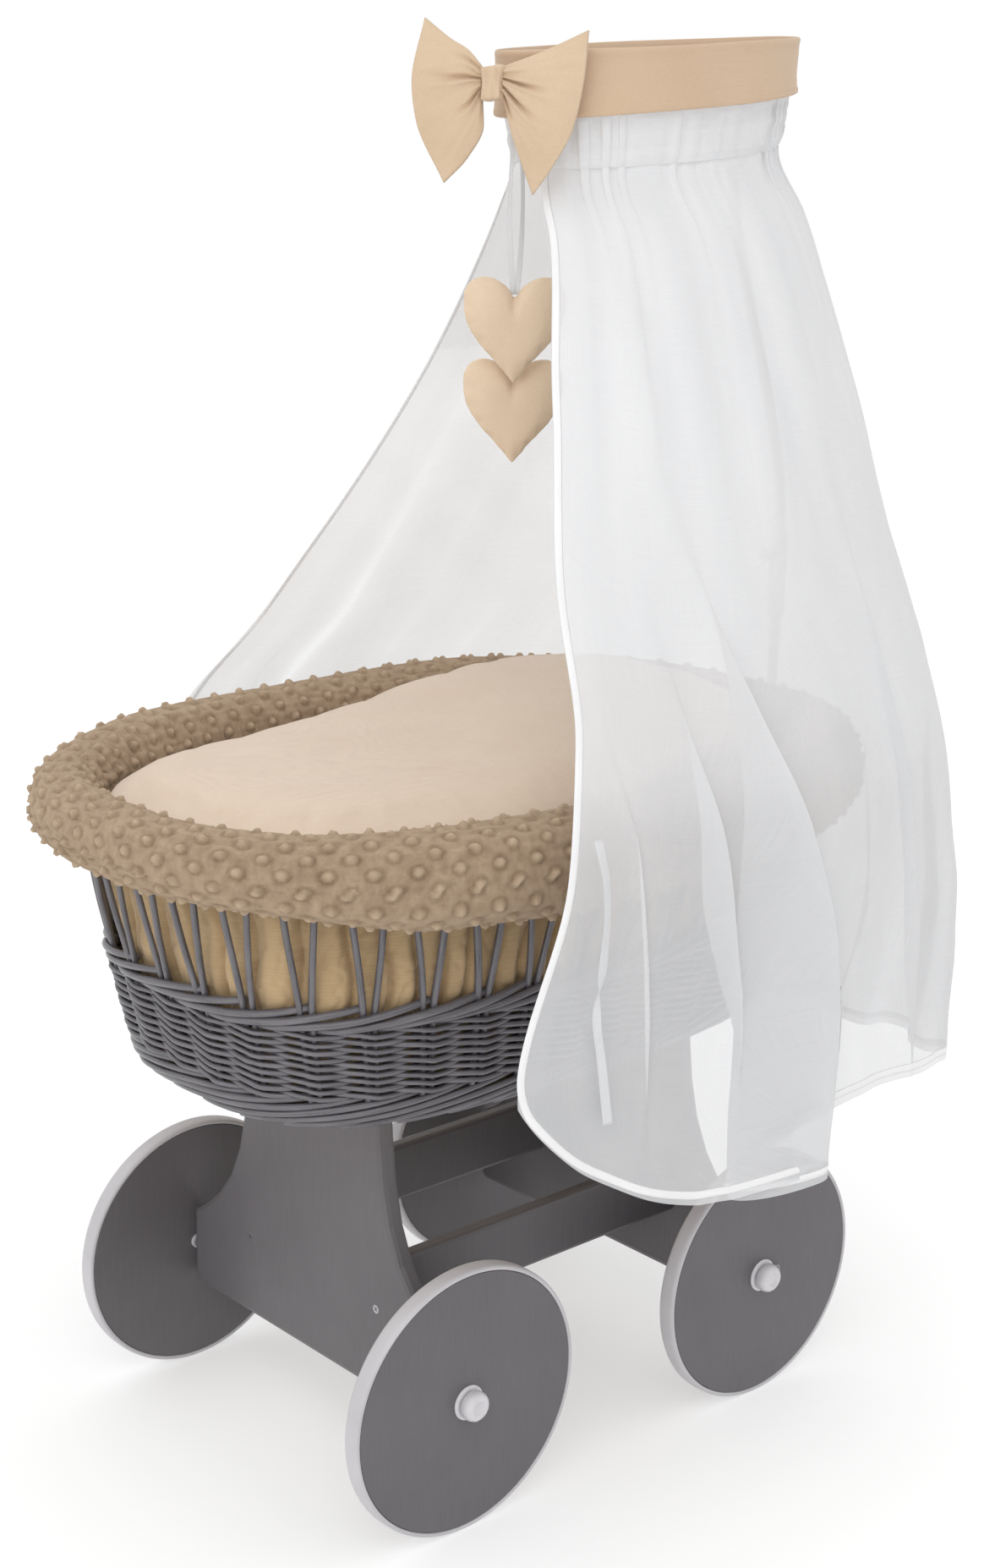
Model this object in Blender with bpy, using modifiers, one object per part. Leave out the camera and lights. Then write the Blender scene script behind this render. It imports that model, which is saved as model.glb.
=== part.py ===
"""A wicker baby cradle on a wheeled board frame, with bedding and a veiled canopy.

Metres, +Z up. The floor is z = 0, the foot end is -X, the head end is +X, and the origin lies midway
between the axles. Pieces named left are at +Y, and pieces named right are at -Y.
"""

import math

import bmesh
import bpy
from mathutils import Matrix, Vector

# Wheels and axles
WHEEL_RADIUS = 0.140
DISC_RADIUS = 0.1348
DISC_THICKNESS = 0.018
WHEELBASE = 0.4227
WHEEL_OUTER_Y = 0.2389
AXLE_RADIUS = 0.005
AXLE_INNER_Y = 0.165
BUSH_RADIUS = 0.0082
FLANGE_RADIUS = 0.018
FLANGE_THICKNESS = 0.003
CLIP_WIRE_RADIUS = 0.0008
CLIP_REACH = 0.024
KNOB_RADIUS = 0.0155
KNOB_HEIGHT = 0.0125

# Board frame
PANEL_THICKNESS = 0.020
PANEL_BOTTOM = 0.099
PANEL_TOP = 0.4275
PANEL_HALF_WIDTH = 0.213
PANEL_SHOULDER = 0.182
NECK_HALF_WIDTH = 0.108
FLARE_WIDTH = 0.099
FLARE_RATE = 16.4
RAIL_Y = 0.107
RAIL_THICKNESS = 0.018
RAIL_BOTTOM, RAIL_TOP = 0.176, 0.242
SCREW_HEIGHT = 0.1905
SCREW_HEAD_RADIUS = 0.0046
SCREW_SHANK_RADIUS = 0.0021
SCREW_LENGTH = 0.045

# Basket: an upright oval tub whose wall leans outwards
BASKET_X = -0.02
WALL_POWER, RIM_POWER = 3.0, 2.5
BASE_Z, RIM_Z = 0.4365, 0.690
BASE_HALF_LENGTH, RIM_HALF_LENGTH = 0.348, 0.405
BASE_HALF_WIDTH, RIM_HALF_WIDTH = 0.211, 0.271
BOARD_BOTTOM, BOARD_THICKNESS = 0.4285, 0.006
WALL_THICKNESS = 0.008
WALL_BOTTOM, WALL_TOP = 0.4605, 0.5365
STAKE_PAIRS = 36
STAKE_THICKNESS = 0.006
STAKE_BOTTOM = 0.5615
STAKE_GAP_SHARE = 0.17
LINER_THICKNESS = 0.003

# Padded roll over the rim
ROLL_HALF_LENGTH, ROLL_HALF_WIDTH = 0.412, 0.280
ROLL_Z = 0.695
ROLL_SECTION = (0.045, 0.043)

# Bedding
BEDDING_HALF_LENGTH, BEDDING_HALF_WIDTH = 0.358, 0.222
MATTRESS_BOTTOM, MATTRESS_TOP = 0.442, 0.545
DUVET_TOP = 0.712
HEAD_RISE = 0.040
PILLOW_LIFT = 0.035

# Canopy
POLE_X = 0.452
POLE_FOOT_X = 0.2284
POLE_RADIUS = 0.006
SLEEVE_BOTTOM, SLEEVE_TOP = 0.800, 0.900
RING_X = 0.220
RING_HALF_LENGTH, RING_HALF_WIDTH = 0.1738, 0.1150
RING_Z = 1.3945
RING_SLOPE = 0.078
RING_ROD_RADIUS = 0.003
BAND_HALF_HEIGHT, BAND_TAPER = 0.0330, 0.0200
BAND_THICKNESS = 0.003
VEIL_THICKNESS = 0.002
HEART_WIDTH = 0.112
HEART_THICKNESS = 0.020
RIBBON_WIDTH = 0.008

GAP = 0.0003
AXIS_Z = WHEEL_RADIUS
PANEL_X = WHEELBASE / 2
AXLE_ENDS = {
    "front_left": (-PANEL_X, 1),
    "front_right": (-PANEL_X, -1),
    "rear_left": (PANEL_X, 1),
    "rear_right": (PANEL_X, -1),
}

# Height, centre x, half length, half width, squareness, and the angles from the head end
# at which the veil's two free edges lie: the right one first.
VEIL_ROWS = (
    (1.3610, 0.220, 0.1640, 0.1060, 2.0, 3.02, 2.75),
    (1.3150, 0.220, 0.1570, 0.1050, 2.0, 3.02, 2.60),
    (1.2500, 0.215, 0.1900, 0.1420, 2.1, 2.76, 2.05),
    (1.1000, 0.170, 0.2780, 0.2050, 2.4, 2.38, 1.75),
    (0.9400, 0.100, 0.3650, 0.2720, 2.8, 2.09, 1.66),
    (0.8100, 0.050, 0.4350, 0.3280, 3.1, 1.90, 1.65),
    (0.7000, 0.014, 0.4750, 0.3660, 3.2, 1.86, 1.71),
    (0.5200, 0.000, 0.4900, 0.3800, 3.4, 1.94, 1.68),
    (0.3100, -0.001, 0.4920, 0.3850, 3.5, 1.75, 1.64),
)
VEIL_CORNER_RISE = 0.19
VEIL_CORNER_SHARE = 0.16

# Points along the two bent stretches of the pole, in the plane y = 0.
LOWER_POLE = (
    (POLE_FOOT_X, 0.235),
    (POLE_FOOT_X, 0.275),
    (POLE_FOOT_X, 0.318),
    (0.2340, 0.346),
    (0.2560, 0.368),
    (0.3000, 0.388),
    (0.3650, 0.415),
    (0.4150, 0.465),
    (0.4420, 0.550),
    (0.4515, 0.640),
    (POLE_X, 0.720),
    (POLE_X, 0.815),
)
UPPER_POLE = (
    (POLE_X, 0.8155),
    (POLE_X, 0.860),
    (POLE_X, 0.905),
    (0.4510, 0.940),
    (0.4270, 1.040),
    (0.3860, 1.160),
    (0.3560, 1.260),
    (0.3500, 1.320),
    (0.3570, 1.370),
    (0.3730, 1.400),
    (0.3890, 1.408),
)

# Half a stuffed heart, from its tip up one side to its notch, as shares of its width and height.
HEART_HALF = (
    (0.00, 0.00),
    (0.17, 0.18),
    (0.37, 0.41),
    (0.48, 0.62),
    (0.495, 0.80),
    (0.42, 0.95),
    (0.30, 1.00),
    (0.12, 0.94),
    (0.00, 0.83),
)
HEART_HEIGHT = 0.110

# The bow's lobes, in its own plane: across, then up from the knot.
BOW_NEAR_LOBE = (
    (0.0133, -0.0150),
    (0.0175, -0.0434),
    (0.0292, -0.0744),
    (0.0425, -0.1071),
    (0.0621, -0.0801),
    (0.0829, -0.0422),
    (0.0909, -0.0161),
    (0.0936, 0.0106),
    (0.0961, 0.0471),
    (0.0501, 0.0274),
    (0.0133, 0.0138),
)
BOW_FAR_LOBE = (
    (-0.0133, 0.0114),
    (-0.0275, 0.0289),
    (-0.0448, 0.0376),
    (-0.0723, 0.0581),
    (-0.0857, -0.0027),
    (-0.0815, -0.0362),
    (-0.0508, -0.0978),
    (-0.0262, -0.0732),
    (-0.0075, -0.0460),
    (-0.0040, -0.0260),
    (-0.0133, -0.0205),
)
BOW_PLACE = Vector((0.0100, 0.0027, 1.3853))
BOW_TURN = math.radians(-62)
BOW_THICKNESS = 0.016

HEART_X, HEART_Y = 0.062, 0.0244
HEART_TURN = math.radians(-42)
RIBBON_TOP = 1.3500
UPPER_HEART_TIP = 1.084
LOWER_HEART_TIP = 1.000

# The tie ribbon's route, hanging outside the veil's right edge.
TIE_POINTS = (
    (-0.1905, -0.3780, 0.7430),
    (-0.1930, -0.3860, 0.7280),
    (-0.1900, -0.3890, 0.7096),
    (-0.1873, -0.3890, 0.6745),
    (-0.1908, -0.3890, 0.6311),
    (-0.1974, -0.3890, 0.5856),
    (-0.1892, -0.3890, 0.5343),
    (-0.1795, -0.3890, 0.4743),
)
TIE_RADIUS = 0.0015


def clear_scene():
    for obj in list(bpy.data.objects):
        bpy.data.objects.remove(obj, do_unlink=True)


def new_collection(name):
    made = bpy.data.collections.new(name)
    bpy.context.scene.collection.children.link(made)
    return made


def new_material(name, colour, roughness, metallic=0.0):
    made = bpy.data.materials.new(name)
    made.use_nodes = True
    shader = made.node_tree.nodes["Principled BSDF"]
    shader.inputs["Base Color"].default_value = (*colour, 1.0)
    shader.inputs["Roughness"].default_value = roughness
    shader.inputs["Metallic"].default_value = metallic
    return made


clear_scene()
PARTS = new_collection("Cradle")
CUTTERS = new_collection("Cutters")
PAINT = new_material("dark_grey_paint", (0.125, 0.122, 0.128), 0.42)
RUBBER = new_material("pale_rubber", (0.47, 0.46, 0.46), 0.6)
PLASTIC = new_material("pale_plastic", (0.58, 0.56, 0.57), 0.45)
STEEL = new_material("bright_steel", (0.62, 0.62, 0.62), 0.3, 1.0)
WICKER = new_material("grey_wicker", (0.115, 0.112, 0.12), 0.5)
PLYWOOD = new_material("plywood", (0.55, 0.40, 0.25), 0.6)
PLUSH = new_material("brown_plush", (0.42, 0.30, 0.21), 0.95)
BEIGE = new_material("beige_cotton", (0.66, 0.52, 0.37), 0.85)
PALE = new_material("pale_cotton", (0.73, 0.61, 0.48), 0.85)
WHITE = new_material("white_cotton", (0.85, 0.84, 0.82), 0.85)
VOILE = new_material("white_voile", (0.9, 0.9, 0.9), 0.8)
WHITE_METAL = new_material("white_enamel", (0.8, 0.8, 0.8), 0.35)


def keep(obj, material, smooth=True):
    """Puts a finished piece into the cradle's collection with its material."""
    for holder in list(obj.users_collection):
        holder.objects.unlink(obj)
    PARTS.objects.link(obj)
    obj.data.materials.clear()
    obj.data.materials.append(material)
    if smooth and obj.type == "MESH":
        obj.data.shade_smooth()
        obj.data.set_sharp_from_angle(angle=math.radians(35))
    return obj


def keep_as_cutter(obj):
    for holder in list(obj.users_collection):
        holder.objects.unlink(obj)
    CUTTERS.objects.link(obj)
    obj.hide_render = True
    obj.display_type = "WIRE"
    return obj


def mesh_object(name, bm):
    """A new object that holds the mesh, with its faces turned outwards."""
    bmesh.ops.recalc_face_normals(bm, faces=bm.faces)
    mesh = bpy.data.meshes.new(name)
    bm.to_mesh(mesh)
    bm.free()
    obj = bpy.data.objects.new(name, mesh)
    bpy.context.scene.collection.objects.link(obj)
    return obj


def box(name, low, high):
    low, high = Vector(low), Vector(high)
    bm = bmesh.new()
    bmesh.ops.create_cube(bm, size=1.0)
    bmesh.ops.scale(bm, vec=high - low, verts=bm.verts)
    bmesh.ops.translate(bm, vec=(low + high) / 2, verts=bm.verts)
    return mesh_object(name, bm)


def facing(direction):
    """The turn that takes +Z to a direction."""
    return Vector((0, 0, 1)).rotation_difference(Vector(direction)).to_matrix().to_4x4()


def cylinder(name, radius, start, direction, length, sides=24, end_radius=None):
    """A cylinder or cone from a start point along a direction."""
    bm = bmesh.new()
    bmesh.ops.create_cone(
        bm,
        cap_ends=True,
        segments=sides,
        radius1=radius,
        radius2=radius if end_radius is None else end_radius,
        depth=length,
    )
    bmesh.ops.translate(bm, vec=(0, 0, length / 2), verts=bm.verts)
    obj = mesh_object(name, bm)
    obj.matrix_world = Matrix.Translation(start) @ facing(direction)
    return obj


def turned(name, profile, place, direction, steps):
    """A turned piece: (radius, height) points, spun about the direction through the place."""
    closed = profile[0] == profile[-1]
    points = profile[:-1] if closed else profile
    bm = bmesh.new()
    verts = [bm.verts.new((radius, 0, height)) for radius, height in points]
    for first, second in zip(verts, verts[1:]):
        bm.edges.new((first, second))
    if closed:
        bm.edges.new((verts[-1], verts[0]))
    mesh = bpy.data.meshes.new(name)
    bm.to_mesh(mesh)
    bm.free()
    obj = bpy.data.objects.new(name, mesh)
    bpy.context.scene.collection.objects.link(obj)
    spin = obj.modifiers.new("spin", "SCREW")
    spin.steps = spin.render_steps = steps
    spin.use_merge_vertices = True
    spin.merge_threshold = 0.00005
    spin.use_smooth_shade = True
    obj.matrix_world = Matrix.Translation(place) @ facing(direction)
    return obj


def cut(obj, cutter):
    made = obj.modifiers.new("cut " + cutter.name, "BOOLEAN")
    made.operation = "DIFFERENCE"
    made.solver = "EXACT"
    made.object = keep_as_cutter(cutter)
    return obj


def round_edges(obj, width, segments=2, angle=35):
    made = obj.modifiers.new("rounded edges", "BEVEL")
    made.width = width
    made.segments = segments
    made.limit_method = "ANGLE"
    made.angle_limit = math.radians(angle)
    return obj


def smooth_route(points, spacing):
    """Evenly spaced points on a smooth curve through the given ones."""
    points = [Vector(p) for p in points]
    ends = [2 * points[0] - points[1]] + points + [2 * points[-1] - points[-2]]
    fine = []
    for p0, p1, p2, p3 in zip(ends, ends[1:], ends[2:], ends[3:]):
        for step in range(24):
            t = step / 24
            fine.append(
                0.5
                * (
                    2 * p1
                    + (p2 - p0) * t
                    + (2 * p0 - 5 * p1 + 4 * p2 - p3) * t**2
                    + (3 * p1 - p0 - 3 * p2 + p3) * t**3
                )
            )
    fine.append(points[-1])
    total = sum((b - a).length for a, b in zip(fine, fine[1:]))
    count = max(2, round(total / spacing))
    wanted = [total * i / count for i in range(count + 1)]
    route, walked, index = [fine[0]], 0.0, 0
    for target in wanted[1:-1]:
        while walked + (fine[index + 1] - fine[index]).length < target:
            walked += (fine[index + 1] - fine[index]).length
            index += 1
        step = fine[index + 1] - fine[index]
        route.append(fine[index] + step * ((target - walked) / step.length))
    return route + [fine[-1]]


def tube(name, points, radius, closed=False):
    """A round rod or ribbon core along the points."""
    curve = bpy.data.curves.new(name, "CURVE")
    curve.dimensions = "3D"
    curve.bevel_depth = radius
    curve.bevel_resolution = 2
    curve.use_fill_caps = not closed
    spline = curve.splines.new("POLY")
    spline.points.add(len(points) - 1)
    for target, point in zip(spline.points, points):
        target.co = (*point, 1.0)
    spline.use_cyclic_u = closed
    obj = bpy.data.objects.new(name, curve)
    bpy.context.scene.collection.objects.link(obj)
    return obj


def flat_outline(name, points, thickness):
    """A plate of the outline in its own XY plane, centred on it, as a welded mesh."""
    curve = bpy.data.curves.new(name, "CURVE")
    curve.dimensions = "2D"
    curve.fill_mode = "BOTH"
    curve.extrude = thickness / 2
    spline = curve.splines.new("POLY")
    spline.points.add(len(points) - 1)
    for target, (across, up) in zip(spline.points, points):
        target.co = (across, up, 0.0, 1.0)
    spline.use_cyclic_u = True
    drawn = bpy.data.objects.new(name, curve)
    bpy.context.scene.collection.objects.link(drawn)
    graph = bpy.context.evaluated_depsgraph_get()
    bm = bmesh.new()
    bm.from_mesh(bpy.data.meshes.new_from_object(drawn.evaluated_get(graph)))
    bmesh.ops.remove_doubles(bm, verts=bm.verts, dist=0.00001)
    bpy.data.objects.remove(drawn, do_unlink=True)
    return mesh_object(name, bm)


def oval(half_length, half_width, power, count, centre_x=BASKET_X, z=0.0):
    """Points round a superellipse, evenly spaced along it."""
    fine = []
    for i in range(count * 16):
        angle = 2 * math.pi * i / (count * 16)
        c, s = math.cos(angle), math.sin(angle)
        x = centre_x + half_length * math.copysign(abs(c) ** (2 / power), c)
        y = half_width * math.copysign(abs(s) ** (2 / power), s)
        fine.append(Vector((x, y, z)))
    lengths = [(b - a).length for a, b in zip(fine, fine[1:] + fine[:1])]
    spacing = sum(lengths) / count
    found, walked, due = [], 0.0, 0.0
    for point, length in zip(fine, lengths):
        if walked >= due - 1e-9 and len(found) < count:
            found.append(point)
            due += spacing
        walked += length
    return found


def basket_oval(z, inwards, count):
    """The basket wall's oval at a height, moved inwards by a distance."""
    share = (z - BASE_Z) / (RIM_Z - BASE_Z)
    half_length = BASE_HALF_LENGTH + share * (RIM_HALF_LENGTH - BASE_HALF_LENGTH)
    half_width = BASE_HALF_WIDTH + share * (RIM_HALF_WIDTH - BASE_HALF_WIDTH)
    open_share = max(0.0, (z - WALL_TOP) / (RIM_Z - WALL_TOP))
    power = WALL_POWER + open_share * (RIM_POWER - WALL_POWER)
    return oval(half_length - inwards, half_width - inwards, power, count, z=z)


def lofted(name, rows, around=True, floor=False):
    """A surface through rows of equally many points."""
    bm = bmesh.new()
    grid = [[bm.verts.new(point) for point in row] for row in rows]
    for lower, upper in zip(grid, grid[1:]):
        last = len(lower) if around else len(lower) - 1
        for i in range(last):
            j = (i + 1) % len(lower)
            bm.faces.new((lower[i], lower[j], upper[j], upper[i]))
    if floor:
        middle = sum((v.co for v in grid[0]), Vector()) / len(grid[0])
        centre = bm.verts.new(middle)
        for first, second in zip(grid[0], grid[0][1:] + grid[0][:1]):
            bm.faces.new((first, centre, second))
    return mesh_object(name, bm)


def solid_shell(obj, thickness):
    made = obj.modifiers.new("thickness", "SOLIDIFY")
    made.thickness = thickness
    made.offset = 0.0
    return obj


def cushion(name, half_length, half_width, bottom, top, power=5.0, centre_x=BASKET_X, count=32):
    """A crowned pad on an oval: bottom and top give its height at (x, y)."""
    shares = (1.0, 0.975, 0.88, 0.6, 0.3)
    ring = oval(half_length, half_width, 2.6, count, centre_x=0.0)
    rows = []
    for side, height in ((-1, bottom), (1, top)):
        for share in shares if side > 0 else tuple(reversed(shares[1:])):
            row = []
            for point in ring:
                x, y = centre_x + point.x * share, point.y * share
                middle = (bottom(x, y) + top(x, y)) / 2
                crown = max(0.0, 1 - share**power) ** (1 / power)
                row.append(Vector((x, y, middle + (height(x, y) - middle) * crown)))
            rows.append(row)
    bm = bmesh.new()
    grid = [[bm.verts.new(point) for point in row] for row in rows]
    for lower, upper in zip(grid, grid[1:]):
        for i in range(count):
            j = (i + 1) % count
            bm.faces.new((lower[i], lower[j], upper[j], upper[i]))
    for row, height in ((grid[0], bottom), (grid[-1], top)):
        centre = bm.verts.new((centre_x, 0, height(centre_x, 0)))
        for i in range(count):
            bm.faces.new((row[i], row[(i + 1) % count], centre))
    return mesh_object(name, bm)


# Wheeled frame


def panel_outline():
    """One end panel in (y, z): straight foot, round shoulder, then a flared neck."""
    half = [(PANEL_HALF_WIDTH - 0.006, PANEL_BOTTOM), (PANEL_HALF_WIDTH, PANEL_BOTTOM + 0.006)]
    half += [(PANEL_HALF_WIDTH, PANEL_SHOULDER), (PANEL_HALF_WIDTH - 0.0015, PANEL_SHOULDER + 0.005)]
    steps = 7
    for i in range(steps + 1):
        height = 0.189 + (PANEL_TOP - 0.189) * (i / steps) ** 1.6
        flare = FLARE_WIDTH * math.exp(-FLARE_RATE * (height - 0.189))
        half.append((NECK_HALF_WIDTH + flare, height))
    return half + [(-y, z) for y, z in reversed(half)]


def end_panel(name, x, outward):
    obj = flat_outline(name, panel_outline(), PANEL_THICKNESS)
    stand = Matrix(((0, 0, 1, x), (1, 0, 0, 0), (0, 1, 0, 0), (0, 0, 0, 1)))
    obj.data.transform(stand)
    round_edges(obj, 0.0065, segments=2, angle=50)
    for side in (-1, 1):
        start = (x, side * (PANEL_HALF_WIDTH + 0.01), AXIS_Z)
        depth = PANEL_HALF_WIDTH + 0.01 - AXLE_INNER_Y + GAP
        bore = cylinder(f"{name}_bore_{side}", AXLE_RADIUS + GAP, start, (0, -side, 0), depth, 16)
        cut(obj, bore)
        cut(obj, screw_hole(f"{name}_screw_hole_{side}", outward, side))
    return keep(obj, PAINT)


def screw_profile(extra=0.0):
    """(radius, height) of a countersunk screw whose head is flush at height 0."""
    return [
        (0.0, extra),
        (SCREW_HEAD_RADIUS + extra, extra),
        (SCREW_SHANK_RADIUS + extra, -0.003 - extra),
        (SCREW_SHANK_RADIUS + extra, -SCREW_LENGTH - extra),
        (0.0, -SCREW_LENGTH - extra),
    ]


def screw_hole(name, outward, side):
    place = (outward * (PANEL_X + PANEL_THICKNESS / 2), side * RAIL_Y, SCREW_HEIGHT)
    return turned(name, screw_profile(GAP), place, (outward, 0, 0), 16)


def rail_screw(name, outward, side):
    place = Vector((outward * (PANEL_X + PANEL_THICKNESS / 2), side * RAIL_Y, SCREW_HEIGHT))
    obj = turned(name, screw_profile(), place, (outward, 0, 0), 16)
    for turn in (0, 90):
        slot = box(f"{name}_slot_{turn}", (-0.0030, -0.0005, -0.0016), (0.0030, 0.0005, 0.002))
        spin = Matrix.Rotation(math.radians(45 + turn), 4, "Z")
        slot.matrix_world = Matrix.Translation(place) @ facing((outward, 0, 0)) @ spin
        cut(obj, slot)
    return keep(obj, STEEL)


def side_rail(name, side):
    reach = PANEL_X - PANEL_THICKNESS / 2 - GAP
    low = (-reach, side * RAIL_Y - RAIL_THICKNESS / 2, RAIL_BOTTOM)
    high = (reach, side * RAIL_Y + RAIL_THICKNESS / 2, RAIL_TOP)
    obj = round_edges(box(name, low, high), 0.0045, segments=2)
    for outward in (-1, 1):
        cut(obj, screw_hole(f"{name}_screw_hole_{outward}", outward, side))
    return keep(obj, PAINT)


def wheel_set(name, x, side):
    """One stub axle with its disc, tyre, flanged bush, cap and clip."""
    outward = (0, side, 0)
    face = WHEEL_OUTER_Y
    clip_at = face + FLANGE_THICKNESS + GAP + CLIP_WIRE_RADIUS
    knob_back = clip_at + CLIP_WIRE_RADIUS + GAP
    axle_end = knob_back + KNOB_HEIGHT * 0.55
    axle_start = (x, side * AXLE_INNER_Y, AXIS_Z)
    axle = cylinder(
        f"axle_{name}", AXLE_RADIUS, axle_start, outward, axle_end - AXLE_INNER_Y, 16
    )
    keep(axle, STEEL)

    hub = (x, side * face, AXIS_Z)
    half = DISC_THICKNESS / 2
    disc = [
        (BUSH_RADIUS + GAP, 0.0),
        (DISC_RADIUS, 0.0),
        (DISC_RADIUS, -DISC_THICKNESS),
        (BUSH_RADIUS + GAP, -DISC_THICKNESS),
        (BUSH_RADIUS + GAP, 0.0),
    ]
    keep(turned(f"wheel_disc_{name}", disc, hub, outward, 36), PAINT)

    inner = DISC_RADIUS + GAP
    tyre = [
        (inner, 0.0),
        (WHEEL_RADIUS - 0.0016, -0.0016),
        (WHEEL_RADIUS, -half),
        (WHEEL_RADIUS - 0.0016, -DISC_THICKNESS + 0.0016),
        (inner, -DISC_THICKNESS),
        (inner, 0.0),
    ]
    keep(turned(f"tyre_{name}", tyre, hub, outward, 36), RUBBER)

    bore = AXLE_RADIUS + GAP
    flange = [
        (bore, FLANGE_THICKNESS),
        (FLANGE_RADIUS, FLANGE_THICKNESS),
        (FLANGE_RADIUS, GAP),
        (BUSH_RADIUS, GAP),
        (BUSH_RADIUS, -DISC_THICKNESS - 0.002),
        (bore, -DISC_THICKNESS - 0.002),
        (bore, FLANGE_THICKNESS),
    ]
    keep(turned(f"hub_flange_{name}", flange, hub, outward, 14), PLASTIC)

    knob_place = (x, side * knob_back, AXIS_Z)
    knob = [
        (0.0, KNOB_HEIGHT - 0.0022),
        (0.0062, KNOB_HEIGHT - 0.0018),
        (0.0080, KNOB_HEIGHT),
        (KNOB_RADIUS - 0.004, KNOB_HEIGHT - 0.0012),
        (KNOB_RADIUS, KNOB_HEIGHT * 0.45),
        (KNOB_RADIUS - 0.0015, 0.0),
        (bore, 0.0),
        (bore, KNOB_HEIGHT * 0.55 + GAP),
        (0.0, KNOB_HEIGHT * 0.55 + GAP),
    ]
    keep(turned(f"hub_knob_{name}", knob, knob_place, outward, 14), PLASTIC)
    hub_clip(name, x, side * clip_at)


def hub_clip(name, x, y):
    """A closed wire loop: its round end hugs the axle and its free end sticks out past the cap."""
    hug = AXLE_RADIUS + GAP + CLIP_WIRE_RADIUS
    points = []
    for i in range(6):
        angle = math.pi * i / 5
        points.append(Vector((hug * math.cos(angle), 0, hug * math.sin(angle))))
    for i in range(6):
        angle = math.pi * (1 + i / 5)
        across = hug * 0.85 * math.cos(angle)
        points.append(Vector((across, 0, -CLIP_REACH + hug + hug * math.sin(angle))))
    loop = tube(f"hub_clip_{name}", points, CLIP_WIRE_RADIUS, closed=True)
    loop.data.bevel_resolution = 1
    turn = Matrix.Rotation(math.radians(-25 if x < 0 else -95), 4, "Y")
    loop.matrix_world = Matrix.Translation((x, y, AXIS_Z)) @ turn
    keep(loop, STEEL)


# Basket


def border(name, z, section):
    """A thick woven edge, as one ring of an oval section."""
    half_across, half_up = section
    rows = []
    for i in range(6):
        angle = 2 * math.pi * i / 6
        height = z + half_up * math.sin(angle)
        ring = basket_oval(z, half_across * math.cos(angle), 36)
        rows.append([Vector((p.x, p.y, height)) for p in ring])
    return keep(lofted(name, rows + rows[:1]), WICKER)


def welded(obj):
    """Joins the first and last rows of a loft that runs back to its start."""
    bm = bmesh.new()
    bm.from_mesh(obj.data)
    bmesh.ops.remove_doubles(bm, verts=bm.verts, dist=0.00001)
    bmesh.ops.recalc_face_normals(bm, faces=bm.faces)
    bm.to_mesh(obj.data)
    bm.free()
    return obj


def basket_wall():
    rows = [basket_oval(z, 0.0, 40) for z in (WALL_BOTTOM, WALL_TOP)]
    wall = lofted("basket_wall", rows)
    keep(solid_shell(wall, WALL_THICKNESS), WICKER)


def base_board():
    low = basket_oval(BASE_Z, 0.0072, 40)
    outline = [(p.x, p.y) for p in low]
    board = flat_outline("base_board", outline, BOARD_THICKNESS)
    board.location.z = BOARD_BOTTOM + BOARD_THICKNESS / 2
    keep(board, PLYWOOD)


def stake_lattice():
    """Pairs of stakes that spread from the woven edge up to a hoop, as one open lattice."""
    fine = STAKE_PAIRS * 20
    rows = []
    for z, share in ((STAKE_BOTTOM, STAKE_GAP_SHARE), (RIM_Z, 0.5)):
        ring = basket_oval(z, 0.0, fine)
        row = []
        for pair in range(STAKE_PAIRS):
            for side in (-0.5, 0.5):
                row.append(ring[round(20 * (pair + side * share)) % fine])
        rows.append(row)
    lattice = lofted("stake_lattice", rows)
    made = lattice.modifiers.new("rods", "WIREFRAME")
    made.thickness = STAKE_THICKNESS
    made.use_boundary = True
    made.use_even_offset = False
    keep(lattice, WICKER, smooth=False)


def liner():
    """The cloth lining: a cup that follows the inside of the wall."""
    heights = (0.4390, 0.4450, 0.540, 0.646)
    insets = (0.018, 0.0100, 0.0100, 0.0100)
    rows = [basket_oval(z, inset, 36) for z, inset in zip(heights, insets)]
    keep(solid_shell(lofted("liner", rows, floor=True), LINER_THICKNESS), BEIGE)


def padded_roll():
    """A stuffed tube with a slit underneath, pressed over the basket's rim."""
    across, up = ROLL_SECTION
    section = []
    points = 13
    for i in range(points):
        angle = math.radians(-97 + 332 * i / (points - 1))
        section.append((across * math.cos(angle), up * math.sin(angle)))
    section += [(-0.0215, -0.0200), (-0.0180, 0.0040), (0.0020, 0.0040), (-0.0010, -0.0200)]
    rows = []
    for outwards, height in section:
        ring = oval(
            ROLL_HALF_LENGTH + outwards, ROLL_HALF_WIDTH + outwards, RIM_POWER, 36, z=ROLL_Z + height
        )
        rows.append(ring)
    keep(welded(lofted("padded_roll", rows + rows[:1])), PLUSH)


def eased(x, start, end):
    """Climbs smoothly from 0 at start to 1 at end."""
    share = min(1.0, max(0.0, (x - start) / (end - start)))
    return share * share * (3 - 2 * share)


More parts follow.
